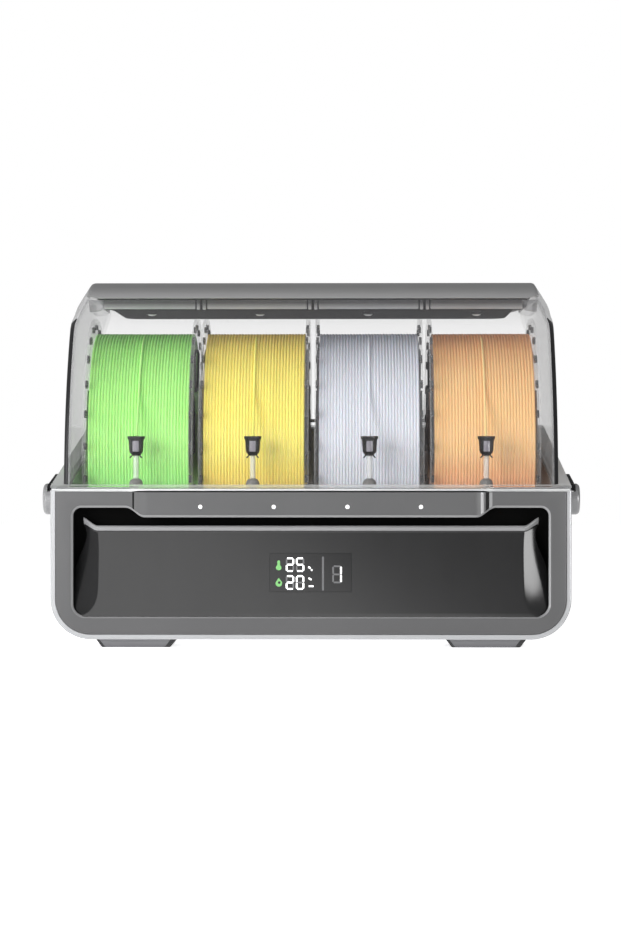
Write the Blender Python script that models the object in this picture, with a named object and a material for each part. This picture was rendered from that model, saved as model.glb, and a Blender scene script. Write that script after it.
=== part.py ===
"""Four-reel filament dryer box with a clear hinged lid, in metres, +Z up, front towards -Y.

The origin is on the table, under the middle of the box. Every piece is its own object; pieces that
move hang from an empty that lies on their joint's axis.
"""
import math

import bmesh
import bpy
from mathutils import Vector

# Heights are measured from a level this far above the table; the finished box is lifted by it.
DATUM_Z = 0.0020

# Overall body
HALF_WIDTH = 0.1905
LEDGE_FRONT_Y = -0.157
SHELL_FRONT_Y = -0.151
REAR_Y = 0.157
FOOT_HEIGHT = 0.0046
SHELL_RADIUS = 0.0295
SHELL_WALL = 0.0035
REAR_RADIUS = 0.008
GAP = 0.0003

# Sloped plane where the lid meets the body
PARTING_FRONT_Z = 0.113
PARTING_SLOPE = 0.165
SEAL_GROOVE = 0.0005
FLANGE_THICKNESS = 0.0024

# Front bezel, its recess and the panel inside it
BEZEL_FACE_Y = -0.152
BEZEL_PLATE = 0.0025
RECESS_BACK_Y = -0.131
RECESS_HALF = 0.1738
RECESS_FLOOR_Z = 0.0218
RECESS_TOP_Z = 0.101
RECESS_LOW_TOP_Z = 0.094
RECESS_LOW_RADIUS = 0.009
RECESS_HIGH_RADIUS = 0.006
LEDGE_HALF = 0.121
LEDGE_STEP = 0.013
PANEL_TOP_Z = 0.088
PANEL_LEAN = 0.0065
PANEL_RISE = 0.0065
PANEL_CLEARANCE = 0.0005
PANEL_THICKNESS = 0.003
WAIST_Z = 0.079
WAIST_DEPTH = 0.0088
WAIST_RETURN = 0.45
SCOOP_HALF_INNER = 0.1555
SCOOP_DEPTH = 0.0085
SCOOP_MIDDLE_Z = 0.052
LIGHT_X = (-0.0805, -0.0269, 0.0269, 0.0805)
LIGHT_Z = 0.1016
LENS_HALF = 0.030
LENS_LOW_Z = 0.0394
LENS_HIGH_Z = 0.0676

# Lid
HOOD_HALF = 0.1815
HOOD_WALL = 0.0025
HOOD_PROFILE = [
    (-0.1475, 0.105), (-0.1385, 0.160), (-0.1180, 0.208), (-0.0850, 0.2515), (-0.0560, 0.2675),
    (-0.0070, 0.2745), (0.0730, 0.2720), (0.1060, 0.2650), (0.1280, 0.2400), (0.1390, 0.190),
    (0.1405, 0.150),
]
SHOULDER_Z = (0.234, 0.264)
SHOULDER_DROP = (0.003, 0.0175)
SHOULDER_RUN = (0.003, 0.0110)
CAP_EDGE_Z = 0.2585
CAP_FLAT_X = 0.163
CAP_TIP_X = 0.1725
CAP_TIP_Z = 0.2612
CAP_TOP_X = 0.1700
HINGE_Y = 0.150
HINGE_Z = 0.1695
HINGE_RADIUS = 0.0045
HINGE_ROD_RADIUS = 0.0015
HINGE_X = 0.120
FLANGE_REAR_Y = 0.143

# Reels
REEL_PITCH = 0.0863
REEL_X = [(i - 1.5) * REEL_PITCH for i in range(4)]
REEL_Y = -0.020
REEL_Z = 0.146
REEL_RADIUS = 0.100
REEL_HALF = 0.0411
REEL_FLANGE = 0.003
REEL_BORE = 0.026
REEL_BARREL = 0.040
WINDING_RADIUS = 0.0885
STRAND_RADIUS = 0.000875

# Rollers under each reel
ROLLER_Y = (-0.082, 0.042)
ROLLER_Z = 0.0573
ROLLER_RADIUS = 0.008
ROLLER_HALF = 0.0413
AXLE_RADIUS = 0.0025
POST_HALF = 0.0015

# Bay under the reels
BAY_HALF = 0.178
BAY_WALL = 0.0025
BAY_FLOOR_Z = 0.040
DECK_Z = 0.112
DECK_THICKNESS = 0.003
BAY_PROFILE = [
    (-0.150, DECK_Z), (-0.1175, DECK_Z), (-0.098, 0.070), (-0.096, BAY_FLOOR_Z),
    (0.143, BAY_FLOOR_Z), (0.1455, 0.060), (0.1455, 0.200), (-0.150, 0.200),
]

# Filament path
INLET_Y = -0.127
FUNNEL_LOW_Z = 0.139
FUNNEL_TOP_Z = 0.1535
STRAND_AIM_Z = 0.148
FEEDER_TOP_Z = 0.1065

# Side latches
LATCH_Y = -0.120
LATCH_Z = 0.107
KNOB_RADIUS = 0.0115
KNOB_INNER_X = 0.1908
KNOB_OUTER_X = 0.1985

# Fan under the bay
FAN_X = -0.070
FAN_Y = 0.030
FAN_HALF = 0.040
FAN_LOW_Z = 0.0085
FAN_HEIGHT = 0.025

COLOURS = {
    "silver": ((0.62, 0.63, 0.64), 0.35, 0.0),
    "graphite": ((0.16, 0.16, 0.165), 0.42, 0.0),
    "gloss_graphite": ((0.06, 0.06, 0.063), 0.18, 0.0),
    "black": ((0.015, 0.015, 0.016), 0.5, 0.0),
    "lens": ((0.01, 0.01, 0.012), 0.08, 0.0),
    "clear": ((0.75, 0.77, 0.78), 0.06, 0.0),
    "cap_grey": ((0.20, 0.20, 0.205), 0.40, 0.0),
    "pale_grey": ((0.38, 0.38, 0.39), 0.45, 0.0),
    "board": ((0.02, 0.16, 0.07), 0.5, 0.0),
    "steel": ((0.60, 0.60, 0.62), 0.25, 1.0),
    "rubber": ((0.03, 0.03, 0.03), 0.75, 0.0),
    "aluminium": ((0.70, 0.70, 0.72), 0.35, 1.0),
    "green": ((0.22, 0.75, 0.12), 0.45, 0.0),
    "yellow": ((0.85, 0.74, 0.10), 0.45, 0.0),
    "lavender": ((0.62, 0.64, 0.76), 0.45, 0.0),
    "orange": ((0.88, 0.38, 0.12), 0.45, 0.0),
}
WINDING_COLOURS = ["green", "yellow", "lavender", "orange"]


def clear_scene():
    for item in list(bpy.data.objects):
        bpy.data.objects.remove(item, do_unlink=True)


def finish_material(name):
    made = bpy.data.materials.get(name)
    if made:
        return made
    colour, roughness, metallic = COLOURS[name]
    made = bpy.data.materials.new(name)
    made.use_nodes = True
    shader = made.node_tree.nodes["Principled BSDF"]
    shader.inputs["Base Color"].default_value = (*colour, 1.0)
    shader.inputs["Roughness"].default_value = roughness
    shader.inputs["Metallic"].default_value = metallic
    return made


def solid(name, points, faces, finish, smooth=False):
    """An object from points and faces, with its normals turned outwards."""
    mesh = bpy.data.meshes.new(name)
    shape = bmesh.new()
    corners = [shape.verts.new(point) for point in points]
    for face in faces:
        shape.faces.new([corners[i] for i in face])
    bmesh.ops.recalc_face_normals(shape, faces=shape.faces)
    shape.to_mesh(mesh)
    shape.free()
    made = bpy.data.objects.new(name, mesh)
    bpy.context.scene.collection.objects.link(made)
    made.data.materials.append(finish_material(finish))
    if smooth:
        mesh.shade_smooth()
        mesh.set_sharp_from_angle(angle=math.radians(30))
    return made


def loft(name, rings, finish, smooth=False):
    """A closed solid through rings of equally many points, capped at both ends."""
    count = len(rings[0])
    points = [point for ring in rings for point in ring]
    faces = [list(range(count)), list(range(len(points) - count, len(points)))]
    for low in range(0, len(points) - count, count):
        for i in range(count):
            j = (i + 1) % count
            faces.append([low + i, low + j, low + count + j, low + count + i])
    return solid(name, points, faces, finish, smooth)


def prism(name, outline, axis, low, high, finish):
    """An outline in the plane across axis, in the order X, Y, Z, extruded from low to high."""
    place = {
        "X": lambda a, b, t: (t, a, b),
        "Y": lambda a, b, t: (a, t, b),
        "Z": lambda a, b, t: (a, b, t),
    }[axis]
    return loft(name, [[place(a, b, t) for a, b in outline] for t in (low, high)], finish)


def block(name, low, high, finish):
    outline = [(low[0], low[1]), (high[0], low[1]), (high[0], high[1]), (low[0], high[1])]
    return prism(name, outline, "Z", low[2], high[2], finish)


def turned(name, profile, axis, centre, finish, segments=16):
    """A profile of (radius, distance along axis) turned about an axis through centre.

    A profile that starts and ends at radius 0 makes a solid piece; any other is closed on itself.
    """
    first, second = {"X": (1, 2), "Y": (2, 0), "Z": (0, 1)}[axis]
    along = "XYZ".index(axis)
    solid_core = profile[0][0] == 0.0
    points = []
    rows = []
    for radius, distance in profile:
        row = []
        for i in range(1 if radius == 0.0 else segments):
            angle = 2 * math.pi * (i + 0.5) / segments
            point = list(centre)
            point[along] += distance
            point[first] += radius * math.cos(angle)
            point[second] += radius * math.sin(angle)
            row.append(len(points))
            points.append(point)
        rows.append(row)
    pairs = list(zip(rows, rows[1:]))
    if not solid_core:
        pairs.append((rows[-1], rows[0]))
    faces = []
    for row, following in pairs:
        for i in range(segments):
            j = (i + 1) % segments
            corner = [row[i % len(row)], row[j % len(row)], following[j % len(following)],
                      following[i % len(following)]]
            faces.append(list(dict.fromkeys(corner)))
    return solid(name, points, faces, finish, smooth=True)


def rod(name, radius, axis, centre, low, high, finish, segments=16):
    profile = [(0.0, low), (radius, low), (radius, high), (0.0, high)]
    return turned(name, profile, axis, centre, finish, segments)


def combine(target, operation, *tools):
    """Boolean modifiers on target, one for each tool; the tools are kept as hidden guides."""
    for tool in tools:
        step = target.modifiers.new(operation.lower() + "_" + tool.name, "BOOLEAN")
        step.operation = operation
        step.solver = "EXACT"
        step.object = tool
        tool.hide_render = True
        tool.display_type = "WIRE"
    return target


def pivot(name, point):
    made = bpy.data.objects.new(name, None)
    made.empty_display_size = 0.02
    made.location = point
    bpy.context.scene.collection.objects.link(made)
    return made


def hang(anchor, *pieces):
    """Parents pieces to an empty on their joint axis, leaving them where they are."""
    for piece in pieces:
        piece.parent = anchor
        piece.location = -Vector(anchor.location)


def arc(centre, radius, start, end, steps):
    """Points on an arc in a plane, with its angles in degrees."""
    made = []
    for i in range(steps + 1):
        angle = math.radians(start + (end - start) * i / steps)
        made.append((centre[0] + radius * math.cos(angle), centre[1] + radius * math.sin(angle)))
    return made


def smooth_curve(points, steps):
    """A Catmull-Rom curve through points, with steps pieces between each two."""
    padded = [points[0]] + list(points) + [points[-1]]
    made = []
    for i in range(1, len(padded) - 2):
        a, b, c, d = (Vector(padded[i + k]) for k in (-1, 0, 1, 2))
        for step in range(steps):
            t = step / steps
            made.append(0.5 * (2 * b + (c - a) * t + (2 * a - 5 * b + 4 * c - d) * t ** 2
                               + (3 * b - a - 3 * c + d) * t ** 3))
    made.append(Vector(points[-1]))
    return [tuple(point) for point in made]


def ease(t):
    t = min(max(t, 0.0), 1.0)
    return t * t * (3 - 2 * t)


def mix(pair, t):
    return pair[0] + (pair[1] - pair[0]) * t


def parting_z(y):
    return PARTING_FRONT_Z + PARTING_SLOPE * (y - LEDGE_FRONT_Y)


def tub_outline(half, floor_z, radius, top_z, steps=7):
    """A U with round bottom corners, across Y, closed along its top."""
    right = arc((half - radius, floor_z + radius), radius, 0, -90, steps)
    left = arc((radius - half, floor_z + radius), radius, -90, -180, steps)
    return [(half, top_z)] + right + left + [(-half, top_z)]


def shell_ring(y, inset, top_z):
    outline = tub_outline(HALF_WIDTH - inset, FOOT_HEIGHT + inset, SHELL_RADIUS - inset, top_z)
    return [(x, y, z) for x, z in outline]


def make_lower_housing():
    stations = [(SHELL_FRONT_Y, 0.0012), (SHELL_FRONT_Y + 0.0012, 0.0)]
    for degrees in (0, 45, 90):
        turn = math.radians(degrees)
        stations.append((REAR_Y - REAR_RADIUS * (1 - math.sin(turn)),
                         REAR_RADIUS * 0.6 * (1 - math.cos(turn))))
    rings = [shell_ring(y, inset, parting_z(y) - SEAL_GROOVE) for y, inset in stations]
    housing = loft("lower_housing", rings, "silver", smooth=True)
    cavity_rings = [shell_ring(y, SHELL_WALL, 0.180) for y in (-0.160, REAR_Y - SHELL_WALL)]
    cavity = loft("housing_cavity", cavity_rings, "silver")
    socket = block("socket_cut", (-0.1467, 0.150, 0.0107), (-0.1147, 0.160, 0.0357), "silver")
    outlet = block("outlet_cut", (-0.0453, 0.150, 0.0157), (0.0453, 0.160, 0.0323), "silver")
    combine(housing, "DIFFERENCE", cavity, socket, outlet)
    for side in (-1, 1):
        for offset in (-0.0145, 0.0145):
            middle = side * (HINGE_X + offset)
            outline = [(0.1562, 0.150), (0.1508, 0.150), (0.1508, 0.1645)] + hinge_eye(20)
            lug = prism("housing_lug_{}_{}".format(side, offset > 0), outline + [(0.1562, 0.1675)],
                        "X", middle - 0.004, middle + 0.004, "silver")
            combine(housing, "UNION", lug)
    bore = rod("housing_rod_bore", HINGE_ROD_RADIUS + GAP, "X", (0, HINGE_Y, HINGE_Z),
               -0.160, 0.160, "silver", 12)
    combine(housing, "DIFFERENCE", bore)


def hinge_eye(end):
    """The round part of a hinge lug, from under the rod up over its top, across X."""
    return arc((HINGE_Y, HINGE_Z), HINGE_RADIUS, 250, end, 8)


def recess_top(x):
    """Height of the recess's upper edge: low under the ledge, higher at both ends."""
    return mix((RECESS_LOW_TOP_Z, RECESS_TOP_Z), ease((abs(x) - 0.1213) / 0.014))


def recess_outline(grow):
    """The recess across Y, grown outwards by grow."""
    half = RECESS_HALF + grow
    floor_z = RECESS_FLOOR_Z - grow
    low = RECESS_LOW_RADIUS + grow
    high = RECESS_HIGH_RADIUS + grow
    top_z = RECESS_TOP_Z + grow
    right = arc((half - low, floor_z + low), low, -90, 0, 5)
    right += arc((half - high, top_z - high), high, 0, 90, 4)
    right += [(x, recess_top(x) + grow) for x in (0.1373, 0.1318, 0.1283, 0.1248, 0.1193)]
    return right + [(-x, z) for x, z in reversed(right)]


def make_front_bezel():
    inner = HALF_WIDTH - SHELL_WALL - GAP
    outline = tub_outline(inner, FOOT_HEIGHT + SHELL_WALL + GAP, SHELL_RADIUS - SHELL_WALL - GAP,
                          0.1125)
    bezel = prism("front_bezel", outline, "Y", BEZEL_FACE_Y, BEZEL_FACE_Y + BEZEL_PLATE, "graphite")
    walls = prism("recess_walls", recess_outline(0.002), "Y", BEZEL_FACE_Y + 0.001, RECESS_BACK_Y,
                  "graphite")
    middle_y = (BEZEL_FACE_Y + LEDGE_FRONT_Y) / 2
    left_steps = [
        (-LEDGE_HALF - LEDGE_STEP, BEZEL_FACE_Y + 0.0012), (-LEDGE_HALF - LEDGE_STEP, BEZEL_FACE_Y),
        (0.003 - LEDGE_HALF - LEDGE_STEP, middle_y), (-LEDGE_HALF - 0.003, middle_y),
        (-LEDGE_HALF, LEDGE_FRONT_Y),
    ]
    ledge_outline = left_steps + [(-x, y) for x, y in reversed(left_steps)]
    ledge = prism("ledge_block", ledge_outline, "Z", RECESS_LOW_TOP_Z - 0.002, 0.1122, "graphite")
    recess = prism("recess_cut", recess_outline(0.0), "Y", -0.160, RECESS_BACK_Y - 0.002, "graphite")
    combine(bezel, "UNION", walls, ledge)
    combine(bezel, "DIFFERENCE", recess)
    for x in LIGHT_X:
        hole = rod("light_hole_{:.0f}".format(x * 1000), 0.0016, "Y", (x, 0, LIGHT_Z), -0.160,
                   -0.145, "graphite", 10)
        combine(bezel, "DIFFERENCE", hole)


def panel_face_y(x, z):
    """Depth of the front panel's face: it leans back, with a scooped hollow at each end."""
    rise = (z - RECESS_FLOOR_Z) / (PANEL_TOP_Z - RECESS_FLOOR_Z)
    face = BEZEL_FACE_Y + 0.0005 + PANEL_LEAN * min(rise, 1.0)
    reach = (z - SCOOP_MIDDLE_Z) / (0.030 if z < SCOOP_MIDDLE_Z else 0.056)
    edge_x = RECESS_HALF - (RECESS_HALF - SCOOP_HALF_INNER) * math.sqrt(max(1 - reach ** 4, 0.0))
    if abs(x) <= edge_x:
        return face
    across = min((abs(x) - edge_x) / (RECESS_HALF - SCOOP_HALF_INNER), 1.0)
    return face + SCOOP_DEPTH * (1 - math.sqrt(1 - across ** 2)) * min(1.0, 0.25 + rise)


def panel_top_z(x):
    """The panel's upper edge, which sweeps up into the recess's upper corners."""
    return PANEL_TOP_Z + PANEL_RISE * ease((abs(x) - 0.1560) / 0.0130)


def panel_half(z):
    """The panel's half width at a height: the recess's lower corners, then a waist near the top."""
    low = RECESS_LOW_RADIUS
    drop = min(max(low - (z - RECESS_FLOOR_Z - PANEL_CLEARANCE), 0.0), low)
    waist = ease((z - SCOOP_MIDDLE_Z) / (WAIST_Z - SCOOP_MIDDLE_Z)) if z < WAIST_Z else 1.0
    waist -= WAIST_RETURN * ease((z - WAIST_Z) / (PANEL_TOP_Z - WAIST_Z))
    return RECESS_HALF - PANEL_CLEARANCE - low + math.sqrt(low ** 2 - drop ** 2) - WAIST_DEPTH * waist


def make_front_panel():
    columns = [-1, -0.985, -0.965, -0.945, -0.925, -0.90, -0.87]
    columns = columns + [-0.60, -0.20, 0.20, 0.60] + [-value for value in reversed(columns)]
    rows = [0.0, 0.02, 0.06, 0.12, 0.22, 0.36, 0.47, 0.56, 0.65, 0.74, 0.83, 0.92, 1.0]
    front = []
    back = []
    for v in rows:
        z_middle = mix((RECESS_FLOOR_Z + PANEL_CLEARANCE, PANEL_TOP_Z), v)
        for u in columns:
            x = u * panel_half(z_middle)
            z = z_middle + (panel_top_z(x) - PANEL_TOP_Z) * v ** 3
            y = panel_face_y(x, z)
            front.append((x, y, z))
            back.append((x, y + PANEL_THICKNESS, z))
    width = len(columns)
    total = len(front)
    faces = []
    for row in range(len(rows) - 1):
        for column in range(width - 1):
            a = row * width + column
            faces.append([a, a + 1, a + width + 1, a + width])
            faces.append([total + a, total + a + width, total + a + width + 1, total + a + 1])
    rim = list(range(width)) + [row * width + width - 1 for row in range(1, len(rows))]
    rim += list(range(total - 2, total - width - 1, -1))
    rim += [row * width for row in range(len(rows) - 2, 0, -1)]
    for a, b in zip(rim, rim[1:] + rim[:1]):
        faces.append([a, b, total + b, total + a])
    panel = solid("front_panel", front + back, faces, "gloss_graphite", smooth=True)
    window = block("display_window", (-LENS_HALF - GAP, -0.160, LENS_LOW_Z - GAP),
                   (LENS_HALF + GAP, -0.130, LENS_HIGH_Z + GAP), "lens")
    combine(panel, "DIFFERENCE", window)


def make_display():
    rings = []
    for depth in (0.0, 0.0015):
        ring = []
        for x, z in ((-LENS_HALF, LENS_LOW_Z), (LENS_HALF, LENS_LOW_Z), (LENS_HALF, LENS_HIGH_Z),
                     (-LENS_HALF, LENS_HIGH_Z)):
            ring.append((x, panel_face_y(x, z) + depth, z))
        rings.append(ring)
    loft("display_lens", rings, "lens")
    board = block("display_board", (-0.038, -0.1408, 0.034), (0.038, -0.1392, 0.074), "board")
    parts = block("display_board_parts", (-0.029, -0.1438, 0.0405), (0.029, -0.1402, 0.0665), "board")
    combine(board, "UNION", parts)


def make_status_light_guide():
    guide = block("status_light_guide", (-0.086, -0.1486, 0.0990), (0.086, -0.1464, 0.1042), "clear")
    for x in LIGHT_X:
        pin = rod("light_pin_{:.0f}".format(x * 1000), 0.0013, "Y", (x, 0, LIGHT_Z),
                  LEDGE_FRONT_Y, -0.1475, "clear", 10)
        combine(guide, "UNION", pin)


def make_feet():
    for end, y in (("front", -0.137), ("rear", 0.097)):
        for side, sign in (("left", -1), ("right", 1)):
            outer, inner = (sign * 0.1585, sign * 0.0990)
            outline = [
                (outer, FOOT_HEIGHT - GAP), (inner, FOOT_HEIGHT - GAP),
                (inner + sign * 0.00475, -DATUM_Z), (outer - sign * 0.00475, -DATUM_Z),
            ]
            prism("foot_{}_{}".format(end, side), outline, "Y", y, y + 0.040, "black")


def make_bay_tray():
    rim = BAY_HALF + 0.0075
    outside = [
        (-0.1490, DECK_Z - DECK_THICKNESS), (-0.1195, DECK_Z - DECK_THICKNESS), (-0.1005, 0.070),
        (-0.0985, BAY_FLOOR_Z - BAY_WALL), (0.1455, BAY_FLOOR_Z - BAY_WALL), (0.1485, 0.060),
        (0.1485, parting_z(0.1485) - SEAL_GROOVE), (-0.1490, parting_z(-0.1490) - SEAL_GROOVE),
    ]
    tray = prism("bay_tray", outside, "X", -BAY_HALF - BAY_WALL, BAY_HALF + BAY_WALL, "pale_grey")
    rim_outline = [
        (-0.1490, parting_z(-0.1490) - 0.0035), (0.1497, parting_z(0.1497) - 0.0035),
        (0.1497, parting_z(0.1497) - SEAL_GROOVE - GAP),
        (-0.1490, parting_z(-0.1490) - SEAL_GROOVE - GAP),
    ]
    rim_plate = prism("bay_rim", rim_outline, "X", -rim, rim, "pale_grey")
    inside = prism("bay_inside", BAY_PROFILE, "X", -BAY_HALF, BAY_HALF, "pale_grey")
    combine(tray, "UNION", rim_plate)
    combine(tray, "DIFFERENCE", inside)
    posts = []
    for row, y in enumerate(ROLLER_Y):
        for i in range(5):
            x = (i - 2) * REEL_PITCH
            outline = [(y - 0.009, BAY_FLOOR_Z - 0.001), (y + 0.009, BAY_FLOOR_Z - 0.001)]
            outline += arc((y, ROLLER_Z), 0.006, 0, 180, 6)
            posts.append(prism("axle_post_{}_{}".format(row, i), outline, "X", x - POST_HALF,
                               x + POST_HALF, "pale_grey"))
        bore = rod("axle_bore_{}".format(row), AXLE_RADIUS + GAP, "X", (0, y, ROLLER_Z), -0.1785,
                   0.1785, "pale_grey", 12)
        combine(tray, "UNION", *posts[-5:])
        combine(tray, "DIFFERENCE", bore)
    for i in range(7):
        x = (i - 3) * 0.044
        slot = block("air_slot_{}".format(i), (x - 0.012, -0.040, 0.030), (x + 0.012, 0.0, 0.045),
                     "pale_grey")
        combine(tray, "DIFFERENCE", slot)
    for number, x in enumerate(REEL_X):
        hole = rod("strand_hole_{}".format(number), 0.0016, "Z", (x, INLET_Y, 0), 0.100, 0.118,
                   "pale_grey", 10)
        combine(tray, "DIFFERENCE", hole)


def make_rollers():
    for row, y in (("front", ROLLER_Y[0]), ("rear", ROLLER_Y[1])):
        rod(row + "_axle", AXLE_RADIUS, "X", (0, y, ROLLER_Z), -0.1782, 0.1782, "steel", 16)
        tyre = 0.007
        waist = 0.0062
        profile = [
            (AXLE_RADIUS + GAP, -ROLLER_HALF), (ROLLER_RADIUS, -ROLLER_HALF),
            (ROLLER_RADIUS, tyre - ROLLER_HALF), (waist, tyre - ROLLER_HALF),
            (waist, ROLLER_HALF - tyre), (ROLLER_RADIUS, ROLLER_HALF - tyre),
            (ROLLER_RADIUS, ROLLER_HALF), (AXLE_RADIUS + GAP, ROLLER_HALF),
        ]
        for number, x in enumerate(REEL_X, 1):
            name = "{}_roller_{}".format(row, number)
            roller = turned(name, profile, "X", (x, y, ROLLER_Z), "rubber", 16)
            hang(pivot(name + "_axis", (x, y, ROLLER_Z)), roller)


def make_reels():
    edge = REEL_HALF - REEL_FLANGE
    profile = [
        (REEL_BORE, -REEL_HALF), (REEL_RADIUS, -REEL_HALF), (REEL_RADIUS, -edge),
        (REEL_BARREL, -edge), (REEL_BARREL, edge), (REEL_RADIUS, edge), (REEL_RADIUS, REEL_HALF),
        (REEL_BORE, REEL_HALF),
    ]
    packed = [
        (REEL_BARREL + GAP, GAP - edge), (WINDING_RADIUS, GAP - edge),
        (WINDING_RADIUS, edge - GAP), (REEL_BARREL + GAP, edge - GAP),
    ]
    for number, x in enumerate(REEL_X, 1):
        centre = (x, REEL_Y, REEL_Z)
        reel = turned("reel_{}".format(number), profile, "X", centre, "clear", 40)
        winding = turned("winding_{}".format(number), packed, "X", centre,
                         WINDING_COLOURS[number - 1], 40)
        hang(pivot("reel_axis_{}".format(number), centre), reel, winding)


def strand_route(x):
    """From the winding's crown, round its front, straight to the funnel and down to the feeder."""
    radius = WINDING_RADIUS + STRAND_RADIUS + GAP
    aim = Vector((INLET_Y - REEL_Y, STRAND_AIM_Z - REEL_Z))
    tangent = math.degrees(math.atan2(aim.y, aim.x) - math.acos(radius / aim.length))
    flat = arc((REEL_Y, REEL_Z), radius, 82, tangent, 10)
    leave = Vector(flat[-1])
    target = Vector((INLET_Y, STRAND_AIM_Z))
    bend_start = target + (leave - target).normalized() * 0.005
    bend_end = Vector((INLET_Y, STRAND_AIM_Z - 0.005))
    for i in range(5):
        t = i / 4
        flat.append(tuple((1 - t) ** 2 * bend_start + 2 * t * (1 - t) * target + t ** 2 * bend_end))
    flat.append((INLET_Y, FEEDER_TOP_Z - 0.006))
    return [(x, y, z) for y, z in flat]


def make_filament_path():
    funnel = [
        (0.0015, 0.1465), (0.0058, FUNNEL_TOP_Z), (0.0065, FUNNEL_TOP_Z), (0.0065, 0.1510),
        (0.0056, 0.1500), (0.0040, 0.1410), (0.0040, FUNNEL_LOW_Z), (0.0025, FUNNEL_LOW_Z),
        (0.0025, 0.1430), (0.0015, 0.1430),
    ]
    tube = [
        (0.0013, DECK_Z + GAP), (0.0050, DECK_Z + GAP), (0.0050, 0.1170), (0.0038, 0.1200),
        (0.0022, 0.1210), (0.0022, 0.1427), (0.0013, 0.1427),
    ]
    for number, x in enumerate(REEL_X, 1):
        place = (x, INLET_Y, 0)
        turned("inlet_funnel_{}".format(number), funnel, "Z", place, "black", 16)
        turned("inlet_tube_{}".format(number), tube, "Z", place, "clear", 12)
        make_strand("filament_lead_{}".format(number), strand_route(x), WINDING_COLOURS[number - 1])
        make_feeder(number, x)


def make_strand(name, route, finish):
    curve = bpy.data.curves.new(name, "CURVE")
    curve.dimensions = "3D"
    curve.bevel_depth = STRAND_RADIUS
    curve.bevel_resolution = 2
    curve.use_fill_caps = True
    spline = curve.splines.new("POLY")
    spline.points.add(len(route) - 1)
    for point, place in zip(spline.points, route):
        point.co = (*place, 1.0)
    made = bpy.data.objects.new(name, curve)
    bpy.context.scene.collection.objects.link(made)
    curve.materials.append(finish_material(finish))


def make_feeder(number, x):
    outline = [
        (-0.1300, 0.022), (-0.1035, 0.022), (-0.1035, 0.067), (-0.1225, FEEDER_TOP_Z),
        (-0.1300, FEEDER_TOP_Z),
    ]
    feeder = prism("feeder_{}".format(number), outline, "X", x - 0.025, x + 0.025, "black")
    bore = rod("feeder_bore_{}".format(number), 0.0015, "Z", (x, INLET_Y, 0), 0.095, 0.110,
               "black", 10)
    combine(feeder, "DIFFERENCE", bore)


def make_air_heater():
    low, high = FAN_LOW_Z, FAN_LOW_Z + FAN_HEIGHT
    centre = (FAN_X, FAN_Y, 0)
    frame = block("fan_frame", (FAN_X - FAN_HALF, FAN_Y - FAN_HALF, low),
                  (FAN_X + FAN_HALF, FAN_Y + FAN_HALF, high), "black")
    duct = rod("fan_duct", FAN_HALF - 0.002, "Z", centre, 0.0, 0.040, "black", 28)
    motor = rod("fan_motor", 0.016, "Z", centre, low, low + 0.003, "black", 16)
    struts = [
        block("fan_strut_x", (FAN_X - 0.039, FAN_Y - 0.0025, low), (FAN_X + 0.039, FAN_Y + 0.0025,
                                                                   low + 0.003), "black"),
        block("fan_strut_y", (FAN_X - 0.0025, FAN_Y - 0.039, low), (FAN_X + 0.0025, FAN_Y + 0.039,
                                                                   low + 0.003), "black"),
    ]
    combine(frame, "DIFFERENCE", duct)
    combine(frame, "UNION", motor, *struts)
    impeller = rod("fan_impeller", 0.015, "Z", centre, low + 0.0045, high - 0.001, "black", 16)
    combine(impeller, "UNION", make_fan_blades(low + 0.0055, high - 0.002))
    hang(pivot("fan_axis", centre), impeller)
    heater = prism("heater_core", fin_outline(0.002, 0.092, 0.010, 0.032, 13), "Y", -0.005, 0.065,
                   "aluminium")
    return heater


def make_fan_blades(low, high):
    """Seven pitched blades as one mesh, each rooted inside the hub."""
    points = []
    faces = []
    for i in range(7):
        spin = 2 * math.pi * i / 7
        start = len(points)
        for radius in (0.012, 0.0350):
            for turn, z in ((-0.010, low), (0.010, high)):
                for thick in (-0.0006, 0.0006):
                    across = turn + thick
                    points.append((FAN_X + radius * math.cos(spin) - across * math.sin(spin),
                                   FAN_Y + radius * math.sin(spin) + across * math.cos(spin), z))
        for face in ((0, 1, 3, 2), (4, 6, 7, 5), (0, 2, 6, 4), (1, 5, 7, 3), (0, 4, 5, 1), (2, 3, 7, 6)):
            faces.append([start + k for k in face])
    return solid("fan_blades", points, faces, "black")


def fin_outline(left, right, low, high, count):
    """A comb across Y: a base with count upright fins."""
    pitch = (right - left) / (count - 0.5)
    outline = [(left, low)]
    top = []
    for i in range(count):
        start = left + i * pitch
        top += [(start, high), (start + pitch / 2, high)]
        if i < count - 1:
            top += [(start + pitch / 2, low + 0.004), (start + pitch, low + 0.004)]
    return outline + top + [(right, low)]


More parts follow.
